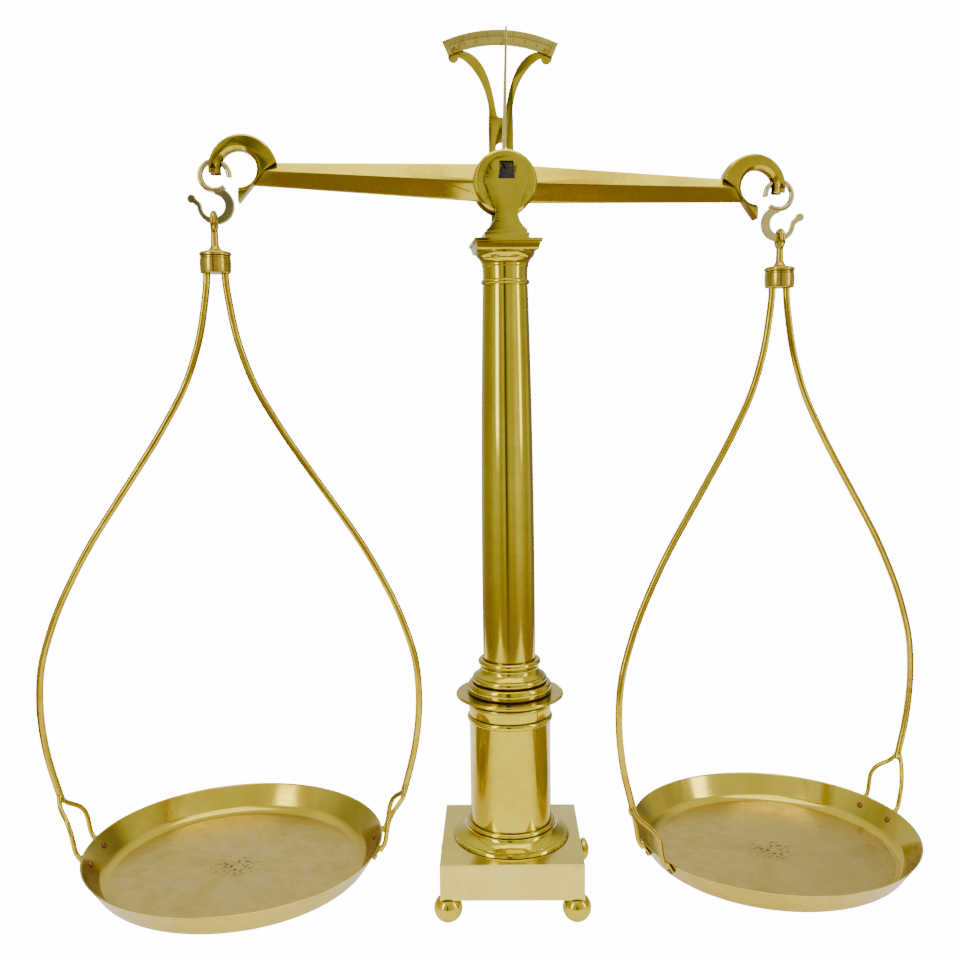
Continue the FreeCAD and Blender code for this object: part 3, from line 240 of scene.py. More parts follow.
def pale_floor():
    bm = bmesh.new()
    bmesh.ops.create_grid(bm, x_segments=1, y_segments=1, size=FLOOR_HALF)
    mesh = bpy.data.meshes.new("floor")
    bm.to_mesh(mesh)
    bm.free()
    floor = bpy.data.objects.new("floor", mesh)
    bpy.context.scene.collection.objects.link(floor)
    paint = bpy.data.materials.new("pale_floor")
    paint.use_nodes = True
    tree = paint.node_tree
    shader = tree.nodes["Principled BSDF"]
    shader.inputs["Base Color"].default_value = (0.93, 0.93, 0.92, 1)
    shader.inputs["Roughness"].default_value = 0.9
    shader.inputs["Specular IOR Level"].default_value = 0.1
    shader.inputs["Emission Color"].default_value = (1, 1, 1, 1)
    shader.inputs["Emission Strength"].default_value = FLOOR_GLOW
    glow = tree.nodes.new("ShaderNodeEmission")
    glow.inputs["Strength"].default_value = PLAIN_WHITE
    ray = tree.nodes.new("ShaderNodeLightPath")
    choose = tree.nodes.new("ShaderNodeMixShader")
    tree.links.new(ray.outputs["Is Camera Ray"], choose.inputs[0])
    tree.links.new(shader.outputs[0], choose.inputs[1])
    tree.links.new(glow.outputs[0], choose.inputs[2])
    tree.links.new(choose.outputs[0], tree.nodes["Material Output"].inputs["Surface"])
    mesh.materials.append(paint)


pale_floor()
print("floor laid")

# %% [markdown]
# ## Finishes
# Old brass is one metal with several stories: dark patina stays where a cloth can't reach, fine
# scratches run over the open faces, turned parts keep rings from the lathe, and filed parts keep a
# straight grain. Each of these is a node group with named sockets, built once. Every finish then
# places the groups it needs with values of its own.

# %% Helper: a shader node group


def start_group(name, inputs, outputs):
    group = bpy.data.node_groups.new(name, "ShaderNodeTree")
    for title, kind, value in inputs:
        socket = group.interface.new_socket(name=title, in_out="INPUT", socket_type=kind)
        if value is not None:
            socket.default_value = value
    for title, kind in outputs:
        group.interface.new_socket(name=title, in_out="OUTPUT", socket_type=kind)
    entry = group.nodes.new("NodeGroupInput")
    leave = group.nodes.new("NodeGroupOutput")
    return group, entry, leave


def add_math(tree, operation, first, second, clamp=False):
    node = tree.nodes.new("ShaderNodeMath")
    node.operation = operation
    node.use_clamp = clamp
    for socket, value in zip(node.inputs, (first, second)):
        if isinstance(value, (int, float)):
            socket.default_value = value
        elif value is not None:
            tree.links.new(value, socket)
    return node.outputs[0]


def add_range(tree, value, low, high, to_low=0.0, to_high=1.0):
    node = tree.nodes.new("ShaderNodeMapRange")
    node.interpolation_type = "SMOOTHSTEP"
    tree.links.new(value, node.inputs["Value"])
    for title, number in (("From Min", low), ("From Max", high),
                          ("To Min", to_low), ("To Max", to_high)):
        if isinstance(number, (int, float)):
            node.inputs[title].default_value = number
        else:
            tree.links.new(number, node.inputs[title])
    return node.outputs[0]


def add_noise(tree, vector, scale, detail=3.0, roughness=0.55):
    node = tree.nodes.new("ShaderNodeTexNoise")
    tree.links.new(vector, node.inputs["Vector"])
    if isinstance(scale, (int, float)):
        node.inputs["Scale"].default_value = scale
    else:
        tree.links.new(scale, node.inputs["Scale"])
    node.inputs["Detail"].default_value = detail
    node.inputs["Roughness"].default_value = roughness
    return node.outputs["Fac"]


print("group helpers ready")

# %% [markdown]
# **Clouds of tarnish.** Handling and old polish leave brass a little browner in some places and
# a little paler in others. Two noises of different size, added together, make a soft uneven cloud.

# %% Group: tarnish clouds


def tarnish_clouds():
    group, entry, leave = start_group(
        "tarnish_clouds",
        [("Vector", "NodeSocketVector", None), ("Size", "NodeSocketFloat", 30.0)],
        [("Cloud", "NodeSocketFloat"), ("Speckle", "NodeSocketFloat")])
    broad = add_noise(group, entry.outputs["Vector"], entry.outputs["Size"], 4.0, 0.6)
    finer = add_math(group, "MULTIPLY", entry.outputs["Size"], 7.0)
    small = add_noise(group, entry.outputs["Vector"], finer, 5.0, 0.65)
    both = add_math(group, "ADD", add_math(group, "MULTIPLY", broad, 0.7),
                    add_math(group, "MULTIPLY", small, 0.3))
    group.links.new(add_range(group, both, 0.36, 0.66), leave.inputs["Cloud"])
    tiny = add_math(group, "MULTIPLY", entry.outputs["Size"], 32.0)
    dots = add_noise(group, entry.outputs["Vector"], tiny, 2.0, 0.5)
    group.links.new(add_range(group, dots, 0.66, 0.74), leave.inputs["Speckle"])
    return group


CLOUDS = tarnish_clouds()
print("made", CLOUDS.name)

# %% [markdown]
# **Grain.** A file, a lathe tool and a polishing cloth all leave fine lines in one direction. The
# same noise makes all of them: squeezed in two directions and stretched in the third. The group is
# given how far to squeeze along X, Y and Z.

# %% Group: grain lines


def grain_lines():
    group, entry, leave = start_group(
        "grain_lines",
        [("Vector", "NodeSocketVector", None), ("Squeeze", "NodeSocketVector", None)],
        [("Height", "NodeSocketFloat"), ("Lines", "NodeSocketFloat")])
    scaled = group.nodes.new("ShaderNodeVectorMath")
    scaled.operation = "MULTIPLY"
    group.links.new(entry.outputs["Vector"], scaled.inputs[0])
    group.links.new(entry.outputs["Squeeze"], scaled.inputs[1])
    fine = add_noise(group, scaled.outputs[0], 1.0, 3.0, 0.7)
    group.links.new(fine, leave.inputs["Height"])
    group.links.new(add_range(group, fine, 0.55, 0.75), leave.inputs["Lines"])
    return group


GRAIN = grain_lines()
print("made", GRAIN.name)

# %% [markdown]
# **Stray scratches.** Long thin marks cross each other at odd angles. A noise stretched in one
# direction gives thin lines where it passes its middle value, and a second noise leaves them out
# in places.

# %% Group: stray scratches


def stray_scratches():
    group, entry, leave = start_group(
        "stray_scratches",
        [("Vector", "NodeSocketVector", None), ("Density", "NodeSocketFloat", 60.0)],
        [("Scratch", "NodeSocketFloat")])
    total = None
    for turn, stretch in (((0.3, 0.5, 0.9), (1.0, 9.0, 9.0)), ((1.1, 0.2, 2.2), (9.0, 1.0, 7.0))):
        mapping = group.nodes.new("ShaderNodeMapping")
        mapping.inputs["Rotation"].default_value = turn
        mapping.inputs["Scale"].default_value = stretch
        group.links.new(entry.outputs["Vector"], mapping.inputs["Vector"])
        noise = add_noise(group, mapping.outputs[0], entry.outputs["Density"], 1.0, 0.4)
        away = add_math(group, "ABSOLUTE", add_math(group, "SUBTRACT", noise, 0.5), None)
        line = add_range(group, away, 0.0, 0.010, 1.0, 0.0)
        patches = add_noise(group, entry.outputs["Vector"], 45.0, 2.0)
        line = add_math(group, "MULTIPLY", line, add_range(group, patches, 0.52, 0.62))
        total = line if total is None else add_math(group, "MAXIMUM", total, line)
    group.links.new(total, leave.inputs["Scratch"])
    return group


SCRATCHES = stray_scratches()
print("made", SCRATCHES.name)

# %% [markdown]
# **Dark in the joints.** Patina and old polish gather in corners. The Ambient Occlusion node
# measures how shut in a point is, wherever the piece is seen from, and that makes the mask.

# %% Group: dark in the joints


def joint_patina():
    group, entry, leave = start_group(
        "joint_patina",
        [("Vector", "NodeSocketVector", None), ("Reach", "NodeSocketFloat", 0.002),
         ("Start", "NodeSocketFloat", 0.72)],
        [("Patina", "NodeSocketFloat")])
    shut = group.nodes.new("ShaderNodeAmbientOcclusion")
    shut.samples = 6
    group.links.new(entry.outputs["Reach"], shut.inputs["Distance"])
    ragged = add_noise(group, entry.outputs["Vector"], 260.0, 3.0, 0.6)
    level = add_math(group, "ADD", shut.outputs["AO"], add_math(group, "MULTIPLY", ragged, 0.16))
    open_share = add_math(group, "SUBTRACT", level, 0.08)
    group.links.new(add_range(group, open_share, 0.30, entry.outputs["Start"], 1.0, 0.0),
                    leave.inputs["Patina"])
    return group


PATINA = joint_patina()
print("made", PATINA.name)

# %% [markdown]
# A finish joins the groups to one Principled shader. Metallic is 1 everywhere, because brass under
# patina is still metal to the eye, and the colour, the roughness and the bump carry the rest.
# Values that hold all over the surface are set on the shader's own sockets.

# %% Helper: one brass finish
FINISHES = {}
BRASS_BUMP = 0.00001
SCRATCH_DENSITY = 70.0


def use_group(tree, group, vector, **values):
    node = tree.nodes.new("ShaderNodeGroup")
    node.node_tree = group
    tree.links.new(vector, node.inputs["Vector"])
    for title, value in values.items():
        node.inputs[title].default_value = value
    return node


def mix_colour(tree, mask, first, second):
    node = tree.nodes.new("ShaderNodeMix")
    node.data_type = "RGBA"
    tree.links.new(mask, node.inputs[0])
    for socket, value in ((node.inputs[6], first), (node.inputs[7], second)):
        if isinstance(value, tuple):
            socket.default_value = (*value, 1)
        else:
            tree.links.new(value, socket)
    return node.outputs[2]


def brass_finish(name, bright, brown, dark, roughness, grain, grain_depth,
                 cloud_size=28.0, cloud_share=0.7, reach=0.0022, start=0.74, scratch=0.5,
                 waviness=0.0, wave_size=30.0):
    material = bpy.data.materials.new(name)
    material.use_nodes = True
    tree = material.node_tree
    shader = tree.nodes["Principled BSDF"]
    where = tree.nodes.new("ShaderNodeTexCoord").outputs["Object"]
    clouds = use_group(tree, CLOUDS, where, Size=cloud_size)
    lines = use_group(tree, GRAIN, where, Squeeze=grain)
    marks = use_group(tree, SCRATCHES, where, Density=SCRATCH_DENSITY)
    patina = use_group(tree, PATINA, where, Reach=reach, Start=start)
    browned = add_math(tree, "MULTIPLY", clouds.outputs["Cloud"], cloud_share)
    colour = mix_colour(tree, browned, bright, brown)
    lined = add_math(tree, "MULTIPLY", lines.outputs["Lines"], 0.28)
    colour = mix_colour(tree, lined, colour, brown)
    colour = mix_colour(tree, patina.outputs["Patina"], colour, dark)
    tree.links.new(colour, shader.inputs["Base Color"])
    shader.inputs["Metallic"].default_value = 1.0
    low, high = roughness
    dull = add_math(tree, "MULTIPLY", clouds.outputs["Cloud"], high - low)
    dull = add_math(tree, "ADD", dull, low)
    dull = add_math(tree, "ADD", dull, add_math(tree, "MULTIPLY", lines.outputs["Height"], 0.07))
    dull = add_math(tree, "ADD", dull,
                    add_math(tree, "MULTIPLY", patina.outputs["Patina"], 0.35), clamp=True)
    tree.links.new(dull, shader.inputs["Roughness"])
    height = add_math(tree, "MULTIPLY", lines.outputs["Height"], grain_depth)
    cut = add_math(tree, "MULTIPLY", marks.outputs["Scratch"], -scratch)
    height = add_math(tree, "ADD", height, cut)
    pits = add_math(tree, "MULTIPLY", clouds.outputs["Speckle"], -0.5)
    height = add_math(tree, "ADD", height, pits)
    if waviness:
        slow = add_noise(tree, where, wave_size, 1.0, 0.4)
        height = add_math(tree, "ADD", height, add_math(tree, "MULTIPLY", slow, waviness))
    bump = tree.nodes.new("ShaderNodeBump")
    bump.inputs["Strength"].default_value = 0.6
    bump.inputs["Distance"].default_value = BRASS_BUMP
    tree.links.new(height, bump.inputs["Height"])
    tree.links.new(bump.outputs[0], shader.inputs["Normal"])
    FINISHES[name] = material
    return material


print("finish helper ready")

# %% [markdown]
# The scale has several brass finishes. The column was turned and polished, so its grain runs round
# it and it shines like a mirror. The plinth and the beam were filed and brushed. The wire of the
# rods is browner, the hooks are rubbed pale, and the pans are dulled by what lay in them.

# %% The brass finishes
BRIGHT = (0.58, 0.47, 0.030)
BROWN = (0.46, 0.335, 0.012)
DARK = (0.070, 0.034, 0.004)
brass_finish("turned_brass", BRIGHT, BROWN, DARK, (0.045, 0.11), (25, 25, 2600), 0.4,
             reach=0.003, start=0.84, cloud_size=22.0, waviness=26.0, wave_size=22.0)
brass_finish("brushed_plinth", (0.74, 0.63, 0.13), (0.64, 0.51, 0.08), DARK, (0.14, 0.22),
             (60, 60, 3800), 1.0, cloud_size=26.0, waviness=20.0)
brass_finish("filed_beam", (0.53, 0.43, 0.030), (0.40, 0.26, 0.008), DARK, (0.10, 0.18),
             (3000, 500, 90), 1.2, reach=0.003, start=0.84, cloud_size=24.0, waviness=24.0)
brass_finish("fork_brass", (0.56, 0.45, 0.03), BROWN, DARK, (0.10, 0.18), (2400, 60, 200), 0.8,
             reach=0.003, start=0.84, waviness=20.0)
brass_finish("wire_brass", (0.55, 0.42, 0.03), (0.42, 0.26, 0.012), DARK, (0.09, 0.17),
             (90, 90, 900), 0.3, cloud_size=40.0, cloud_share=0.9)
brass_finish("hook_brass", (0.70, 0.62, 0.24), (0.58, 0.46, 0.08), DARK, (0.09, 0.17),
             (700, 700, 700), 0.4, cloud_size=60.0, cloud_share=0.5)
brass_finish("eye_brass", (0.54, 0.42, 0.05), (0.40, 0.25, 0.015), DARK, (0.10, 0.20),
             (700, 700, 700), 0.5, cloud_size=55.0, cloud_share=0.9)
brass_finish("scale_brass", (0.62, 0.52, 0.10), (0.52, 0.40, 0.04), DARK, (0.18, 0.28),
             (1600, 60, 1600), 0.7, cloud_size=40.0)
brass_finish("rivet_copper", (0.34, 0.13, 0.05), (0.24, 0.09, 0.035), (0.05, 0.02, 0.01),
             (0.22, 0.36), (600, 600, 600), 0.5, reach=0.0012, start=0.9)
print("finishes:", sorted(FINISHES))

# %% [markdown]
# The pans need a finish of their own. Their floors are dull and mottled, tan in some places and
# olive in others, with small dark flecks near the middle. Only the walls still shine. The
# distance from the pan's own centre tells floor from wall, so each pan has its own copy, centred
# by a Mapping node.

# %% Pan finish


def pan_finish(name, centre):
    material = brass_finish(name, (0.60, 0.47, 0.05), (0.48, 0.34, 0.02), DARK, (0.08, 0.14),
                            (300, 300, 300), 0.25, cloud_size=17.0, cloud_share=0.8,
                            reach=0.0015, start=0.6, scratch=0.9, waviness=110.0, wave_size=20.0)
    tree = material.node_tree
    shader = tree.nodes["Principled BSDF"]
    where = tree.nodes.new("ShaderNodeTexCoord").outputs["Object"]
    centred = tree.nodes.new("ShaderNodeMapping")
    centred.inputs["Location"].default_value = (-centre.x, -centre.y, -centre.z)
    tree.links.new(where, centred.inputs["Vector"])
    flat = tree.nodes.new("ShaderNodeVectorMath")
    flat.operation = "MULTIPLY"
    flat.inputs[1].default_value = (1, 1, 0)
    tree.links.new(centred.outputs[0], flat.inputs[0])
    out = tree.nodes.new("ShaderNodeVectorMath")
    out.operation = "LENGTH"
    tree.links.new(flat.outputs[0], out.inputs[0])
    away = out.outputs["Value"]
    floor_mask = add_range(tree, away, 0.080, 0.090, 1.0, 0.0)
    mottle = add_noise(tree, centred.outputs[0], 55.0, 6.0, 0.72)
    mottled = add_range(tree, mottle, 0.40, 0.62)
    stain = add_noise(tree, centred.outputs[0], 21.0, 3.0, 0.6)
    stained = add_range(tree, stain, 0.52, 0.66)
    fleck = add_noise(tree, centred.outputs[0], 420.0, 2.0, 0.5)
    near_middle = add_range(tree, away, 0.006, 0.022, 1.0, 0.03)
    flecked = add_math(tree, "MULTIPLY", add_range(tree, fleck, 0.56, 0.61), near_middle)
    old = shader.inputs["Base Color"].links[0].from_socket
    tan = mix_colour(tree, mottled, (0.60, 0.475, 0.125), (0.52, 0.41, 0.085))
    tan = mix_colour(tree, add_math(tree, "MULTIPLY", stained, 0.5), tan, (0.45, 0.32, 0.055))
    tan = mix_colour(tree, flecked, tan, (0.10, 0.055, 0.02))
    tree.links.new(mix_colour(tree, floor_mask, old, tan), shader.inputs["Base Color"])
    rough = shader.inputs["Roughness"].links[0].from_socket
    floor_dull = add_math(tree, "ADD", add_math(tree, "MULTIPLY", mottled, 0.10), 0.10)
    extra = add_math(tree, "MULTIPLY", floor_dull, floor_mask)
    tree.links.new(add_math(tree, "ADD", rough, extra, clamp=True), shader.inputs["Roughness"])


for side in SIDES:
    pan_finish(f"{side}_pan_brass", middle(f"{side}_pan"))
print("pan finishes made")

# %% [markdown]
# The knives and their bearings are hardened steel, blued almost black, and the engraved lines of
# the scale are filled with black wax. Both are small, so one short recipe serves them.

# %% Steel and wax


def plain_finish(name, colour, second, metallic, roughness, size):
    material = bpy.data.materials.new(name)
    material.use_nodes = True
    tree = material.node_tree
    shader = tree.nodes["Principled BSDF"]
    where = tree.nodes.new("ShaderNodeTexCoord").outputs["Object"]
    clouds = use_group(tree, CLOUDS, where, Size=size)
    tree.links.new(mix_colour(tree, clouds.outputs["Cloud"], colour, second),
                   shader.inputs["Base Color"])
    shader.inputs["Metallic"].default_value = metallic
    low, high = roughness
    dull = add_math(tree, "MULTIPLY", clouds.outputs["Cloud"], high - low)
    dull = add_math(tree, "ADD", dull, low)
    tree.links.new(dull, shader.inputs["Roughness"])
    bump = tree.nodes.new("ShaderNodeBump")
    bump.inputs["Strength"].default_value = 0.4
    bump.inputs["Distance"].default_value = 0.00003
    tree.links.new(clouds.outputs["Speckle"], bump.inputs["Height"])
    tree.links.new(bump.outputs[0], shader.inputs["Normal"])
    FINISHES[name] = material


plain_finish("blued_steel", (0.035, 0.034, 0.036), (0.07, 0.06, 0.055), 0.9, (0.25, 0.45), 90.0)
plain_finish("black_wax", (0.03, 0.022, 0.012), (0.07, 0.05, 0.025), 0.0, (0.5, 0.7), 200.0)
print("finishes:", len(FINISHES))

# %% [markdown]
# ## Pieces
# Two helpers serve the pieces. The first turns a bmesh into an object at the origin, gives it a
# finish, sets it on the body it rides on and hides the solid it stands for. The second spins a
# profile round an upright line, as a lathe does.

# %% Helper: from bmesh to piece
BODY_OF = {node: body for body, nodes in frame["record"]["behaviour"]["bodies"].items()
           for node in nodes}


def make_piece(name, bm, finish, nodes, sharp=35.0, body=None):
    mesh = bpy.data.meshes.new(name)
    bm.to_mesh(mesh)
    bm.free()
    for face in mesh.polygons:
        face.use_smooth = True
    mesh.set_sharp_from_angle(angle=math.radians(sharp))
    mesh.materials.append(FINISHES[finish])
    piece = bpy.data.objects.new(name, mesh)
    bpy.context.scene.collection.objects.link(piece)
    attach(piece, body or BODY_OF[nodes[0]])
    if nodes:
        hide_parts(*nodes)
    print(name, "faces", len(mesh.polygons))
    return piece


# %% [markdown]
# The second helper draws the profile's points, joins them with edges and spins them. A profile
# that starts and ends away from the axis is closed into a loop, so the piece is a hollow ring.

# %% Helper: spin a profile


def spun(profile, centre, steps=120, closed=False):
    """Profile: (radius, height) in millimetres, drawn round an upright line through centre."""
    bm = bmesh.new()
    points = [bm.verts.new(centre + Vector((radius, 0, height)) * MM) for radius, height in profile]
    edges = [bm.edges.new(pair) for pair in zip(points, points[1:])]
    if closed:
        edges.append(bm.edges.new((points[-1], points[0])))
    bmesh.ops.spin(bm, geom=points + edges, cent=centre, axis=(0, 0, 1),
                   angle=2 * math.pi, steps=steps, use_merge=True)
    bmesh.ops.remove_doubles(bm, verts=bm.verts, dist=1e-6)
    bmesh.ops.recalc_face_normals(bm, faces=bm.faces)
    return bm


def curve_between(start, end, belly, count=8):
    """Points of a moulding's round: belly is how far it stands out, or in if it is negative."""
    points = []
    for index in range(count + 1):
        share = index / count
        swell = belly * 4 * share * (1 - share)
        radius = start[0] + (end[0] - start[0]) * share + swell
        points.append((radius, start[1] + (end[1] - start[1]) * share))
    return points


print("piece helpers ready")

# %% [markdown]
# **The turned stack.** From the plinth up, the stand is a stack of lathe work: a moulded foot, a
# drum with a bead, a thin brim, a base of rings and hollows, and a long shaft. A list of steps
# describes each, as a turner would: a radius and a height for every change of direction. A
# half-round bead follows a half circle, so it stays full up to its edges.

# %% Turned profiles


def half_round(radius, low, height, stand_out, count=12):
    """A full bead: an upright half oval standing out from a radius."""
    points = []
    for index in range(count + 1):
        angle = math.pi * index / count
        points.append((radius + stand_out * math.sin(angle),
                       low + height * (1 - math.cos(angle)) / 2))
    return points


def turned(node, profile, steps=120):
    bm = spun(profile, Vector((0, 0, 0)), steps, closed=True)
    make_piece(f"{node}_turned", bm, "turned_brass", [node])


def base_moulding_profile():
    z = PLINTH_TOP / MM
    line = [(26.3, z), (41.9, z), (42.1, z + 0.5), (41.7, z + 1.2)]
    line += [(41.4, z + 1.9), (40.2, z + 2.5), (39.0, z + 2.6)]
    line += curve_between((38.9, z + 2.9), (31.8, z + 9.0), -1.7, 14)
    line += [(31.2, z + 9.15)] + half_round(30.6, z + 9.2, 3.2, 1.35)
    line += [(29.4, z + 12.45), (26.3, z + 12.5)]
    return line


turned("base_moulding", base_moulding_profile())

# %% [markdown]
# **The drum** is a plain cylinder with a full bead above it, then a collar, a smaller bead, and a
# flare that meets the brim.

# %% Drum with its bead


def drum_profile():
    low, top = (corner.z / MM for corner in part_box("pedestal_drum"))
    line = [(26.3, low), (29.3, low), (29.3, low + 73.9)]
    line += half_round(29.4, low + 74.1, 4.3, 1.5) + [(28.9, low + 78.5), (28.9, low + 79.0)]
    line += [(29.5, low + 79.2), (29.65, low + 82.0), (29.6, low + 85.6)]
    line += half_round(29.9, low + 85.7, 2.3, 0.9) + [(29.9, low + 88.1)]
    line += curve_between((30.6, low + 88.3), (33.3, top - 0.1), 0.7, 8)
    line += [(33.4, top), (26.3, top)]
    return line


turned("pedestal_drum", drum_profile())

# %% [markdown]
# **The brim** is a thin disc that stands out past the drum. The column's base sits on it: two
# beads, a hollow, and a third bead under the shaft.

# %% Brim and column base


def brim_profile():
    low, high = (corner.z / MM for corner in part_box("pedestal_brim"))
    line = [(5.0, low), (38.3, low), (38.75, low + 0.35), (38.9, low + 1.1)]
    line += [(38.8, high - 0.6), (38.3, high), (5.0, high)]
    return line


turned("pedestal_brim", brim_profile())


def column_base_profile():
    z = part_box("pedestal_brim")[1].z / MM
    line = [(16.6, z), (29.0, z)] + half_round(28.9, z + 0.1, 7.7, 1.3, 16)
    line += [(27.0, z + 8.0)] + half_round(25.4, z + 8.1, 4.7, 1.6, 14) + [(24.9, z + 12.9)]
    line += curve_between((25.0, z + 13.2), (21.0, z + 19.2), -1.3, 12)
    line += [(20.5, z + 19.5), (20.4, z + 20.2)] + half_round(20.9, z + 20.4, 4.4, 1.7, 14)
    line += [(20.0, z + 24.9), (16.6, z + 24.9)]
    return line


turned("column_base", column_base_profile())

# %% [markdown]
# **The shaft** looks straight but isn't: like a stone column it swells very slightly and then
# draws in towards the top. A long shallow curve gives the reflections their gentle bend.

# %% Shaft
SHAFT_WALL = 2.2


def shaft_profile():
    low, high = (corner.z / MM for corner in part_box("column_shaft"))
    outer = curve_between((18.8, low + 0.3), (15.9, high - 0.2), 1.15, 48)
    inner = [(radius - SHAFT_WALL, height) for radius, height in reversed(outer)]
    return [(18.5, low)] + outer + [(15.6, high)] + inner


turned("column_shaft", shaft_profile(), steps=160)

# %% [markdown]
# **The capital** is a turned neck under two square slabs. Each slab starts as a cube and is scaled
# to its size. The lower one's sides lean out, so its top face is larger than its bottom one.

# %% Capital


def square_slab(width_low, width_high, low, height, ease):
    bm = bmesh.new()
    bmesh.ops.create_cube(bm, size=1.0)
    for vert in bm.verts:
        width = width_high if vert.co.z > 0 else width_low
        vert.co.x *= width * MM
        vert.co.y *= width * MM
        vert.co.z = (low + height * (vert.co.z + 0.5)) * MM
    bmesh.ops.bevel(bm, geom=bm.edges, offset=ease * MM, offset_type="OFFSET", affect="EDGES",
                    segments=2, profile=0.5, material=-1)
    return bm


def join_bmesh(first, second):
    mesh = bpy.data.meshes.new("joining")
    second.to_mesh(mesh)
    second.free()
    first.from_mesh(mesh)
    bpy.data.meshes.remove(mesh)
    return first


def capital_profile():
    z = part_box("column_shaft")[1].z / MM
    line = [(4.6, z), (15.6, z), (15.6, z + 1.0)] + half_round(16.0, z + 1.15, 3.2, 1.15)
    line += [(15.75, z + 4.5), (15.7, z + 8.0), (15.9, z + 13.0), (16.4, z + 13.3)]
    line += [(16.5, z + 13.9)] + curve_between((16.4, z + 14.0), (18.1, z + 18.3), -0.5, 8)
    line += [(17.8, z + 18.5), (17.8, z + 18.9)]
    line += curve_between((18.5, z + 19.0), (20.9, z + 23.3), 0.6, 8) + [(4.6, z + 23.35)]
    return line


capital = spun(capital_profile(), Vector((0, 0, 0)), closed=True)
LEANING_HEIGHT = 5.2
TOP_HEIGHT = 2.3
SLAB_EASE = 0.35
top_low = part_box("fork")[0].z / MM - TOP_HEIGHT
capital = join_bmesh(
    capital, square_slab(41.5, 44.5, top_low - LEANING_HEIGHT, LEANING_HEIGHT, SLAB_EASE))
capital = join_bmesh(capital, square_slab(46.6, 46.6, top_low, TOP_HEIGHT, SLAB_EASE))
make_piece("capital_turned", capital, "turned_brass", ["capital"])

# %% [markdown]
# **Ball feet.** Each is a sphere, cut by two level planes: a wide one where it is screwed to the
# plinth and a tiny one where it has worn flat. The bisect operator makes both cuts, and the open
# ends are filled again.

# %% Ball feet
BALL_RADIUS = 10
BALL_CENTRE = 9.8
BALL_FLAT = 0.2
PLINTH_HEIGHT = 25.5


def ball_foot(node):
    centre = middle(node)
    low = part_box(node)[0].z
    bm = bmesh.new()
    bmesh.ops.create_uvsphere(bm, u_segments=64, v_segments=40, radius=BALL_RADIUS * MM)
    bmesh.ops.translate(bm, verts=bm.verts, vec=(centre.x, centre.y, low + BALL_CENTRE * MM))
    for height, normal in ((low + BALL_FLAT * MM, (0, 0, -1)),
                           (PLINTH_TOP - PLINTH_HEIGHT * MM, (0, 0, 1))):
        cut = bmesh.ops.bisect_plane(bm, geom=bm.verts[:] + bm.edges[:] + bm.faces[:],
                                     plane_co=(0, 0, height), plane_no=normal, clear_outer=True)
        rim = [part for part in cut["geom_cut"] if isinstance(part, bmesh.types.BMEdge)]
        bmesh.ops.edgeloop_fill(bm, edges=rim)
    bmesh.ops.recalc_face_normals(bm, faces=bm.faces)
    return bm


for node in sorted(name for name in frame["nodes"] if name.startswith("foot_")):
    make_piece(f"{node}_ball", ball_foot(node), "turned_brass", [node])

# %% [markdown]
# **Filed and sawn pieces.** The plinth, beam, fork and bracket are flat work whose edges have been
# broken with a file and worn by hands. Their solids give their shape, so each gets a copy
# whose loose triangles are merged, and a Bevel modifier rounds the edges that turn sharply. The
# rounded edges catch the light.

# %% Helper: a copy with eased edges
EDGE_ANGLE = 28.0


def eased(node, finish, ease):
    bm = bmesh.new()
    bm.from_mesh(frame["nodes"][node].data)
    bmesh.ops.remove_doubles(bm, verts=bm.verts, dist=1e-6)
    bmesh.ops.dissolve_limit(bm, angle_limit=math.radians(0.6), use_dissolve_boundaries=False,
                             verts=bm.verts, edges=bm.edges, delimit={"NORMAL"})
    piece = make_piece(f"{node}_eased", bm, finish, [node], sharp=180.0)
    bevel = piece.modifiers.new("ease", "BEVEL")
    bevel.width = ease * MM
    bevel.segments = 3
    bevel.limit_method = "ANGLE"
    bevel.angle_limit = math.radians(EDGE_ANGLE)
    bevel.use_clamp_overlap = True
    bevel.harden_normals = True


EASED_PIECES = {
    "plinth": ("brushed_plinth", 0.45), "fork": ("fork_brass", 0.5),
    "scale_bracket": ("fork_brass", 0.4), "scale_plate": ("scale_brass", 0.25),
    "beam_arms": ("filed_beam", 0.5), "boss_plate_front": ("turned_brass", 0.3),
    "boss_plate_back": ("turned_brass", 0.3), "left_swan_neck": ("filed_beam", 0.5),
    "right_swan_neck": ("filed_beam", 0.5), "needle": ("hook_brass", 0.2),
    "side_knob": ("turned_brass", 0.4), "arbor_bush": ("turned_brass", 0.3),
    "plate_screws": ("eye_brass", 0.1), "bracket_screws": ("eye_brass", 0.15),
    "boss_pins": ("fork_brass", 0.1),
}
for node, (finish, ease) in EASED_PIECES.items():
    eased(node, finish, ease)

# %% [markdown]
# The knives and their bearings are eased in the same way, but only just: a knife edge stays keen.

# %% Steel pieces
for node in ("centre_knife", "bearing_front", "bearing_back", "left_end_knife", "right_end_knife"):
    eased(node, "blued_steel", 0.12)

# %% [markdown]
# **Hooks and rods** were bent from wire and forged, so nothing on them has a crisp edge, and the
# prongs run into the rod in one smooth web. A voxel remesh melts the solid's parts into one skin,
# and a few rounds of smoothing give the forged look. Both are applied here, so the piece is a
# plain mesh afterwards.

# %% Helper: a melted copy


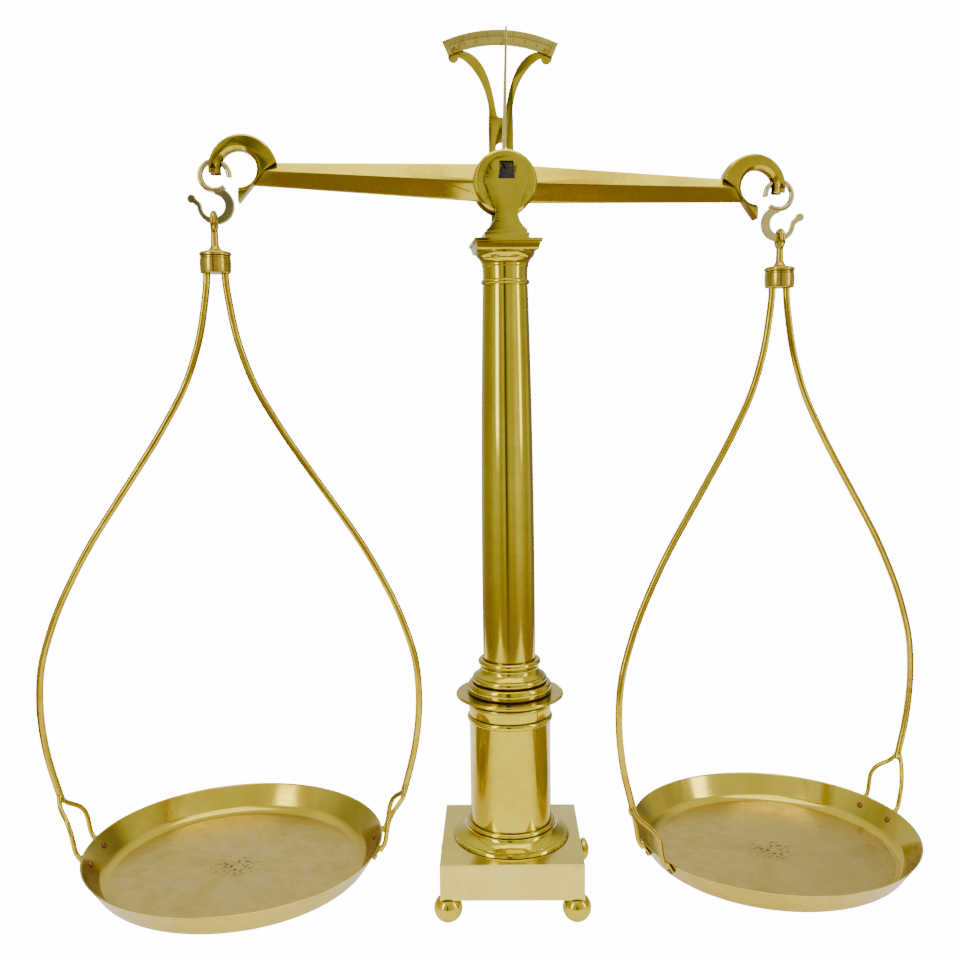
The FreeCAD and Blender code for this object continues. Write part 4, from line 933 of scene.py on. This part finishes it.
def melted(node, finish, voxel, rounds):
    bm = bmesh.new()
    bm.from_mesh(frame["nodes"][node].data)
    bmesh.ops.remove_doubles(bm, verts=bm.verts, dist=1e-6)
    mesh = bpy.data.meshes.new("melting")
    bm.to_mesh(mesh)
    bm.free()
    worker = bpy.data.objects.new("melting", mesh)
    bpy.context.scene.collection.objects.link(worker)
    remesh = worker.modifiers.new("melt", "REMESH")
    remesh.mode = "VOXEL"
    remesh.voxel_size = voxel * MM
    remesh.adaptivity = 0.0
    smooth = worker.modifiers.new("smooth", "SMOOTH")
    smooth.iterations = rounds
    smooth.factor = 0.5
    done = bpy.data.meshes.new_from_object(
        worker.evaluated_get(bpy.context.evaluated_depsgraph_get()))
    bpy.data.objects.remove(worker)
    bm = bmesh.new()
    bm.from_mesh(done)
    bpy.data.meshes.remove(done)
    make_piece(f"{node}_forged", bm, finish, [node], sharp=180.0)


for side in SIDES:
    melted(f"{side}_hook", "hook_brass", 0.3, 8)
    for end in ("outer", "inner"):
        melted(f"{side}_{end}_rod", "wire_brass", 0.45, 8)

# %% [markdown]
# **Eye bolts and ferrules.** An eye is a ring of wire standing on a flared stem, which spreads into
# a domed disc. The stem is a spin round the upright line. The ring is a circle spun round a level
# line through its own centre.

# %% Eye bolts
RING_RADIUS = 5.7
WIRE_RADIUS = 2.05
DISC_DROP = 26.6


def wire_ring(centre):
    bm = bmesh.new()
    bmesh.ops.create_circle(bm, segments=32, radius=WIRE_RADIUS * MM)
    top = centre + Vector((0, 0, RING_RADIUS * MM))
    bmesh.ops.translate(bm, verts=bm.verts, vec=top)
    bmesh.ops.rotate(bm, verts=bm.verts, cent=top,
                     matrix=Matrix.Rotation(math.radians(90), 3, "X"))
    bmesh.ops.spin(bm, geom=bm.verts[:] + bm.edges[:], cent=centre, axis=(1, 0, 0),
                   angle=2 * math.pi, steps=72, use_merge=True)
    bmesh.ops.remove_doubles(bm, verts=bm.verts, dist=1e-6)
    bmesh.ops.recalc_face_normals(bm, faces=bm.faces)
    return bm


def eye_bolt(side):
    low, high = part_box(f"{side}_eye_bolt")
    centre = Vector(((low.x + high.x) / 2, 0, high.z - (RING_RADIUS + WIRE_RADIUS) * MM))
    ring_foot = centre.z / MM - RING_RADIUS
    disc_top = high.z / MM - DISC_DROP
    line = [(0.0, disc_top - 3.6), (10.2, disc_top - 3.6), (10.75, disc_top - 3.1)]
    line += [(10.85, disc_top - 2.3), (10.5, disc_top - 1.6)]
    line += curve_between((10.0, disc_top - 1.3), (5.4, disc_top - 0.1), 0.55, 8)
    line += curve_between((4.75, disc_top), (2.75, disc_top + 5.2), -0.7, 8)
    line += [(2.6, disc_top + 8.5), (2.45, ring_foot + 0.6), (0.0, ring_foot + 1.2)]
    stem = spun(line, Vector((centre.x, centre.y, 0)), steps=72)
    return join_bmesh(stem, wire_ring(centre))


for side in SIDES:
    make_piece(f"{side}_eye_bolt_turned", eye_bolt(side), "eye_brass", [f"{side}_eye_bolt"])

# %% [markdown]
# Under each disc a short cup turns freely and holds both rods. It is a solid spin with a narrow
# groove near its top.

# %% Ferrules


def ferrule(side):
    low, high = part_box(f"{side}_ferrule")
    z0, z1 = low.z / MM, high.z / MM
    centre = Vector(((low.x + high.x) / 2, (low.y + high.y) / 2, 0))
    line = [(0.0, z0), (9.7, z0), (10.1, z0 + 0.4), (10.35, z0 + 2.0), (10.5, z0 + 5.0)]
    line += [(10.55, z0 + 7.5), (10.4, z1 - 1.9), (10.05, z1 - 1.5), (10.05, z1 - 1.2)]
    line += [(10.35, z1 - 0.9), (10.3, z1 - 0.3), (9.9, z1), (0.0, z1)]
    return spun(line, centre, steps=96)


for side in SIDES:
    make_piece(f"{side}_ferrule_turned", ferrule(side), "eye_brass", [f"{side}_ferrule"])

# %% [markdown]
# **Pans.** A pan is one sheet spun over a former: a flat floor, a rounded turn, a wall that leans
# out, and a rim whose edge is rounded over. Its profile goes out along the underside and comes
# back along the inside, so the spin makes a closed skin with a real thickness.

# %% Pans
FLOOR_RADIUS = 86.0
SHEET = 1.0
WALL_LEAN = math.radians(32.7)
WALL_RUN = 18.5
WALL_RISE = 19.5


def pan_skin(side):
    low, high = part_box(f"{side}_pan")
    centre = Vector(((low.x + high.x) / 2, (low.y + high.y) / 2, 0))
    floor_z, rim_z = low.z / MM, high.z / MM
    sweep = math.radians(90) - WALL_LEAN
    across = WALL_RUN * math.sin(sweep) - WALL_RISE * math.cos(sweep)
    turn_radius = across / (1 - math.cos(sweep))

    def turn(inset, count=14):
        radius = turn_radius - inset
        return [(FLOOR_RADIUS + radius * math.sin(sweep * k / count),
                 floor_z + turn_radius - radius * math.cos(sweep * k / count))
                for k in range(count + 1)]

    under = [(0.0, floor_z), (30.0, floor_z), (60.0, floor_z)] + turn(0.0)
    rim = [(104.1, rim_z - 0.6), (104.4, rim_z - 0.25), (104.2, rim_z), (103.7, rim_z)]
    rim += [(103.35, rim_z - 0.2), (102.9, rim_z - 0.75)]
    inside = list(reversed(turn(SHEET)))
    inside += [(radius, floor_z + SHEET) for radius in (60.0, 30.0, 0.0)]
    return spun(under + rim + inside, centre, steps=200)


for side in SIDES:
    make_piece(f"{side}_pan_spun", pan_skin(side), f"{side}_pan_brass", [f"{side}_pan"],
               sharp=60.0)
    eased(f"{side}_pan_rivets", "rivet_copper", 0.1)

# %% [markdown]
# **Pieces that nobody sees** keep their own shapes: the tie tube, the nut, the lift gear and the
# swivel nuts are inside. They still get a finish, because each solid shows when the scale is taken
# apart.

# %% Inner pieces
INNER_PIECES = {
    "tie_tube": "turned_brass", "tie_washer": "turned_brass", "tie_nut": "turned_brass",
    "lift_arbor": "blued_steel", "lift_cam": "turned_brass", "lift_rod": "turned_brass",
    "lift_pad": "turned_brass", "left_swivel_nut": "eye_brass", "right_swivel_nut": "eye_brass",
}
for node, finish in INNER_PIECES.items():
    data = frame["nodes"][node].data
    data.materials.clear()
    data.materials.append(FINISHES[finish])
print("inner pieces:", len(INNER_PIECES))

# %% [markdown]
# **The engraved scale.** The arc plate carries two long curved lines, and short divisions on
# either side of the middle, each cut fine and filled with black wax. A cut this fine reads as a
# thin dark line, so each line and division is made of slivers laid on the plate's face.

# %% Divisions and line
PLATE_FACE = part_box("scale_plate")[0].y - 0.00003
SLIVER_DEPTH = 0.00004


def sliver(bm, angle, inner, outer, width):
    """A thin upright bar across the arc, at an angle from the top."""
    made = bmesh.ops.create_cube(bm, size=1.0)
    verts = made["verts"]
    bmesh.ops.scale(bm, verts=verts, vec=(width * MM, SLIVER_DEPTH, (outer - inner) * MM))
    bmesh.ops.translate(bm, verts=verts, vec=(0, PLATE_FACE, (outer + inner) / 2 * MM))
    bmesh.ops.rotate(bm, verts=verts, cent=(0, 0, 0), matrix=Matrix.Rotation(angle, 3, "Y"))
    bmesh.ops.translate(bm, verts=verts, vec=(0, 0, PIVOT_Z))


def divisions():
    bm = bmesh.new()
    for step in range(-20, 21):
        angle = math.radians(step * 1.05)
        outer = 98.4 if step % 5 else 99.3
        sliver(bm, angle, 96.1, outer, 0.22 if step % 5 else 0.32)
    for step in range(-88, 89):
        angle = math.radians(step * 0.25)
        sliver(bm, angle, 95.9, 96.2, 0.46)
        sliver(bm, angle, 91.2, 91.35, 0.46)
    for angle in (-22.0, 22.0):
        sliver(bm, math.radians(angle), 91.3, 99.3, 0.25)
    return bm


make_piece("scale_divisions", divisions(), "black_wax", [], body="base")

# %% [markdown]
# The numerals count outward from the middle on both sides. Each is set as text, turned to a mesh,
# stood upright against the plate and swung to its place on the arc.

# %% Numerals
NUMERAL_RADIUS = 93.6
NUMERAL_STEP = 5.25


def numerals():
    bm = bmesh.new()
    for step in (-3, -2, -1, 1, 2, 3):
        text = bpy.data.curves.new("numeral", "FONT")
        text.body = str(abs(step))
        text.size = 3.4 * MM
        text.align_x = "CENTER"
        text.align_y = "CENTER"
        writer = bpy.data.objects.new("numeral", text)
        bpy.context.scene.collection.objects.link(writer)
        bpy.context.view_layer.update()
        flat = bpy.data.meshes.new_from_object(
            writer.evaluated_get(bpy.context.evaluated_depsgraph_get()))
        angle = math.radians(step * NUMERAL_STEP)
        stand = Matrix.Rotation(math.radians(90), 4, "X")
        lift = Matrix.Translation((0, PLATE_FACE, NUMERAL_RADIUS * MM))
        swing = Matrix.Translation((0, 0, PIVOT_Z)) @ Matrix.Rotation(angle, 4, "Y")
        flat.transform(swing @ lift @ stand)
        bm.from_mesh(flat)
        bpy.data.objects.remove(writer)
        bpy.data.meshes.remove(flat)
    return bm


make_piece("scale_numerals", numerals(), "black_wax", [], body="base")
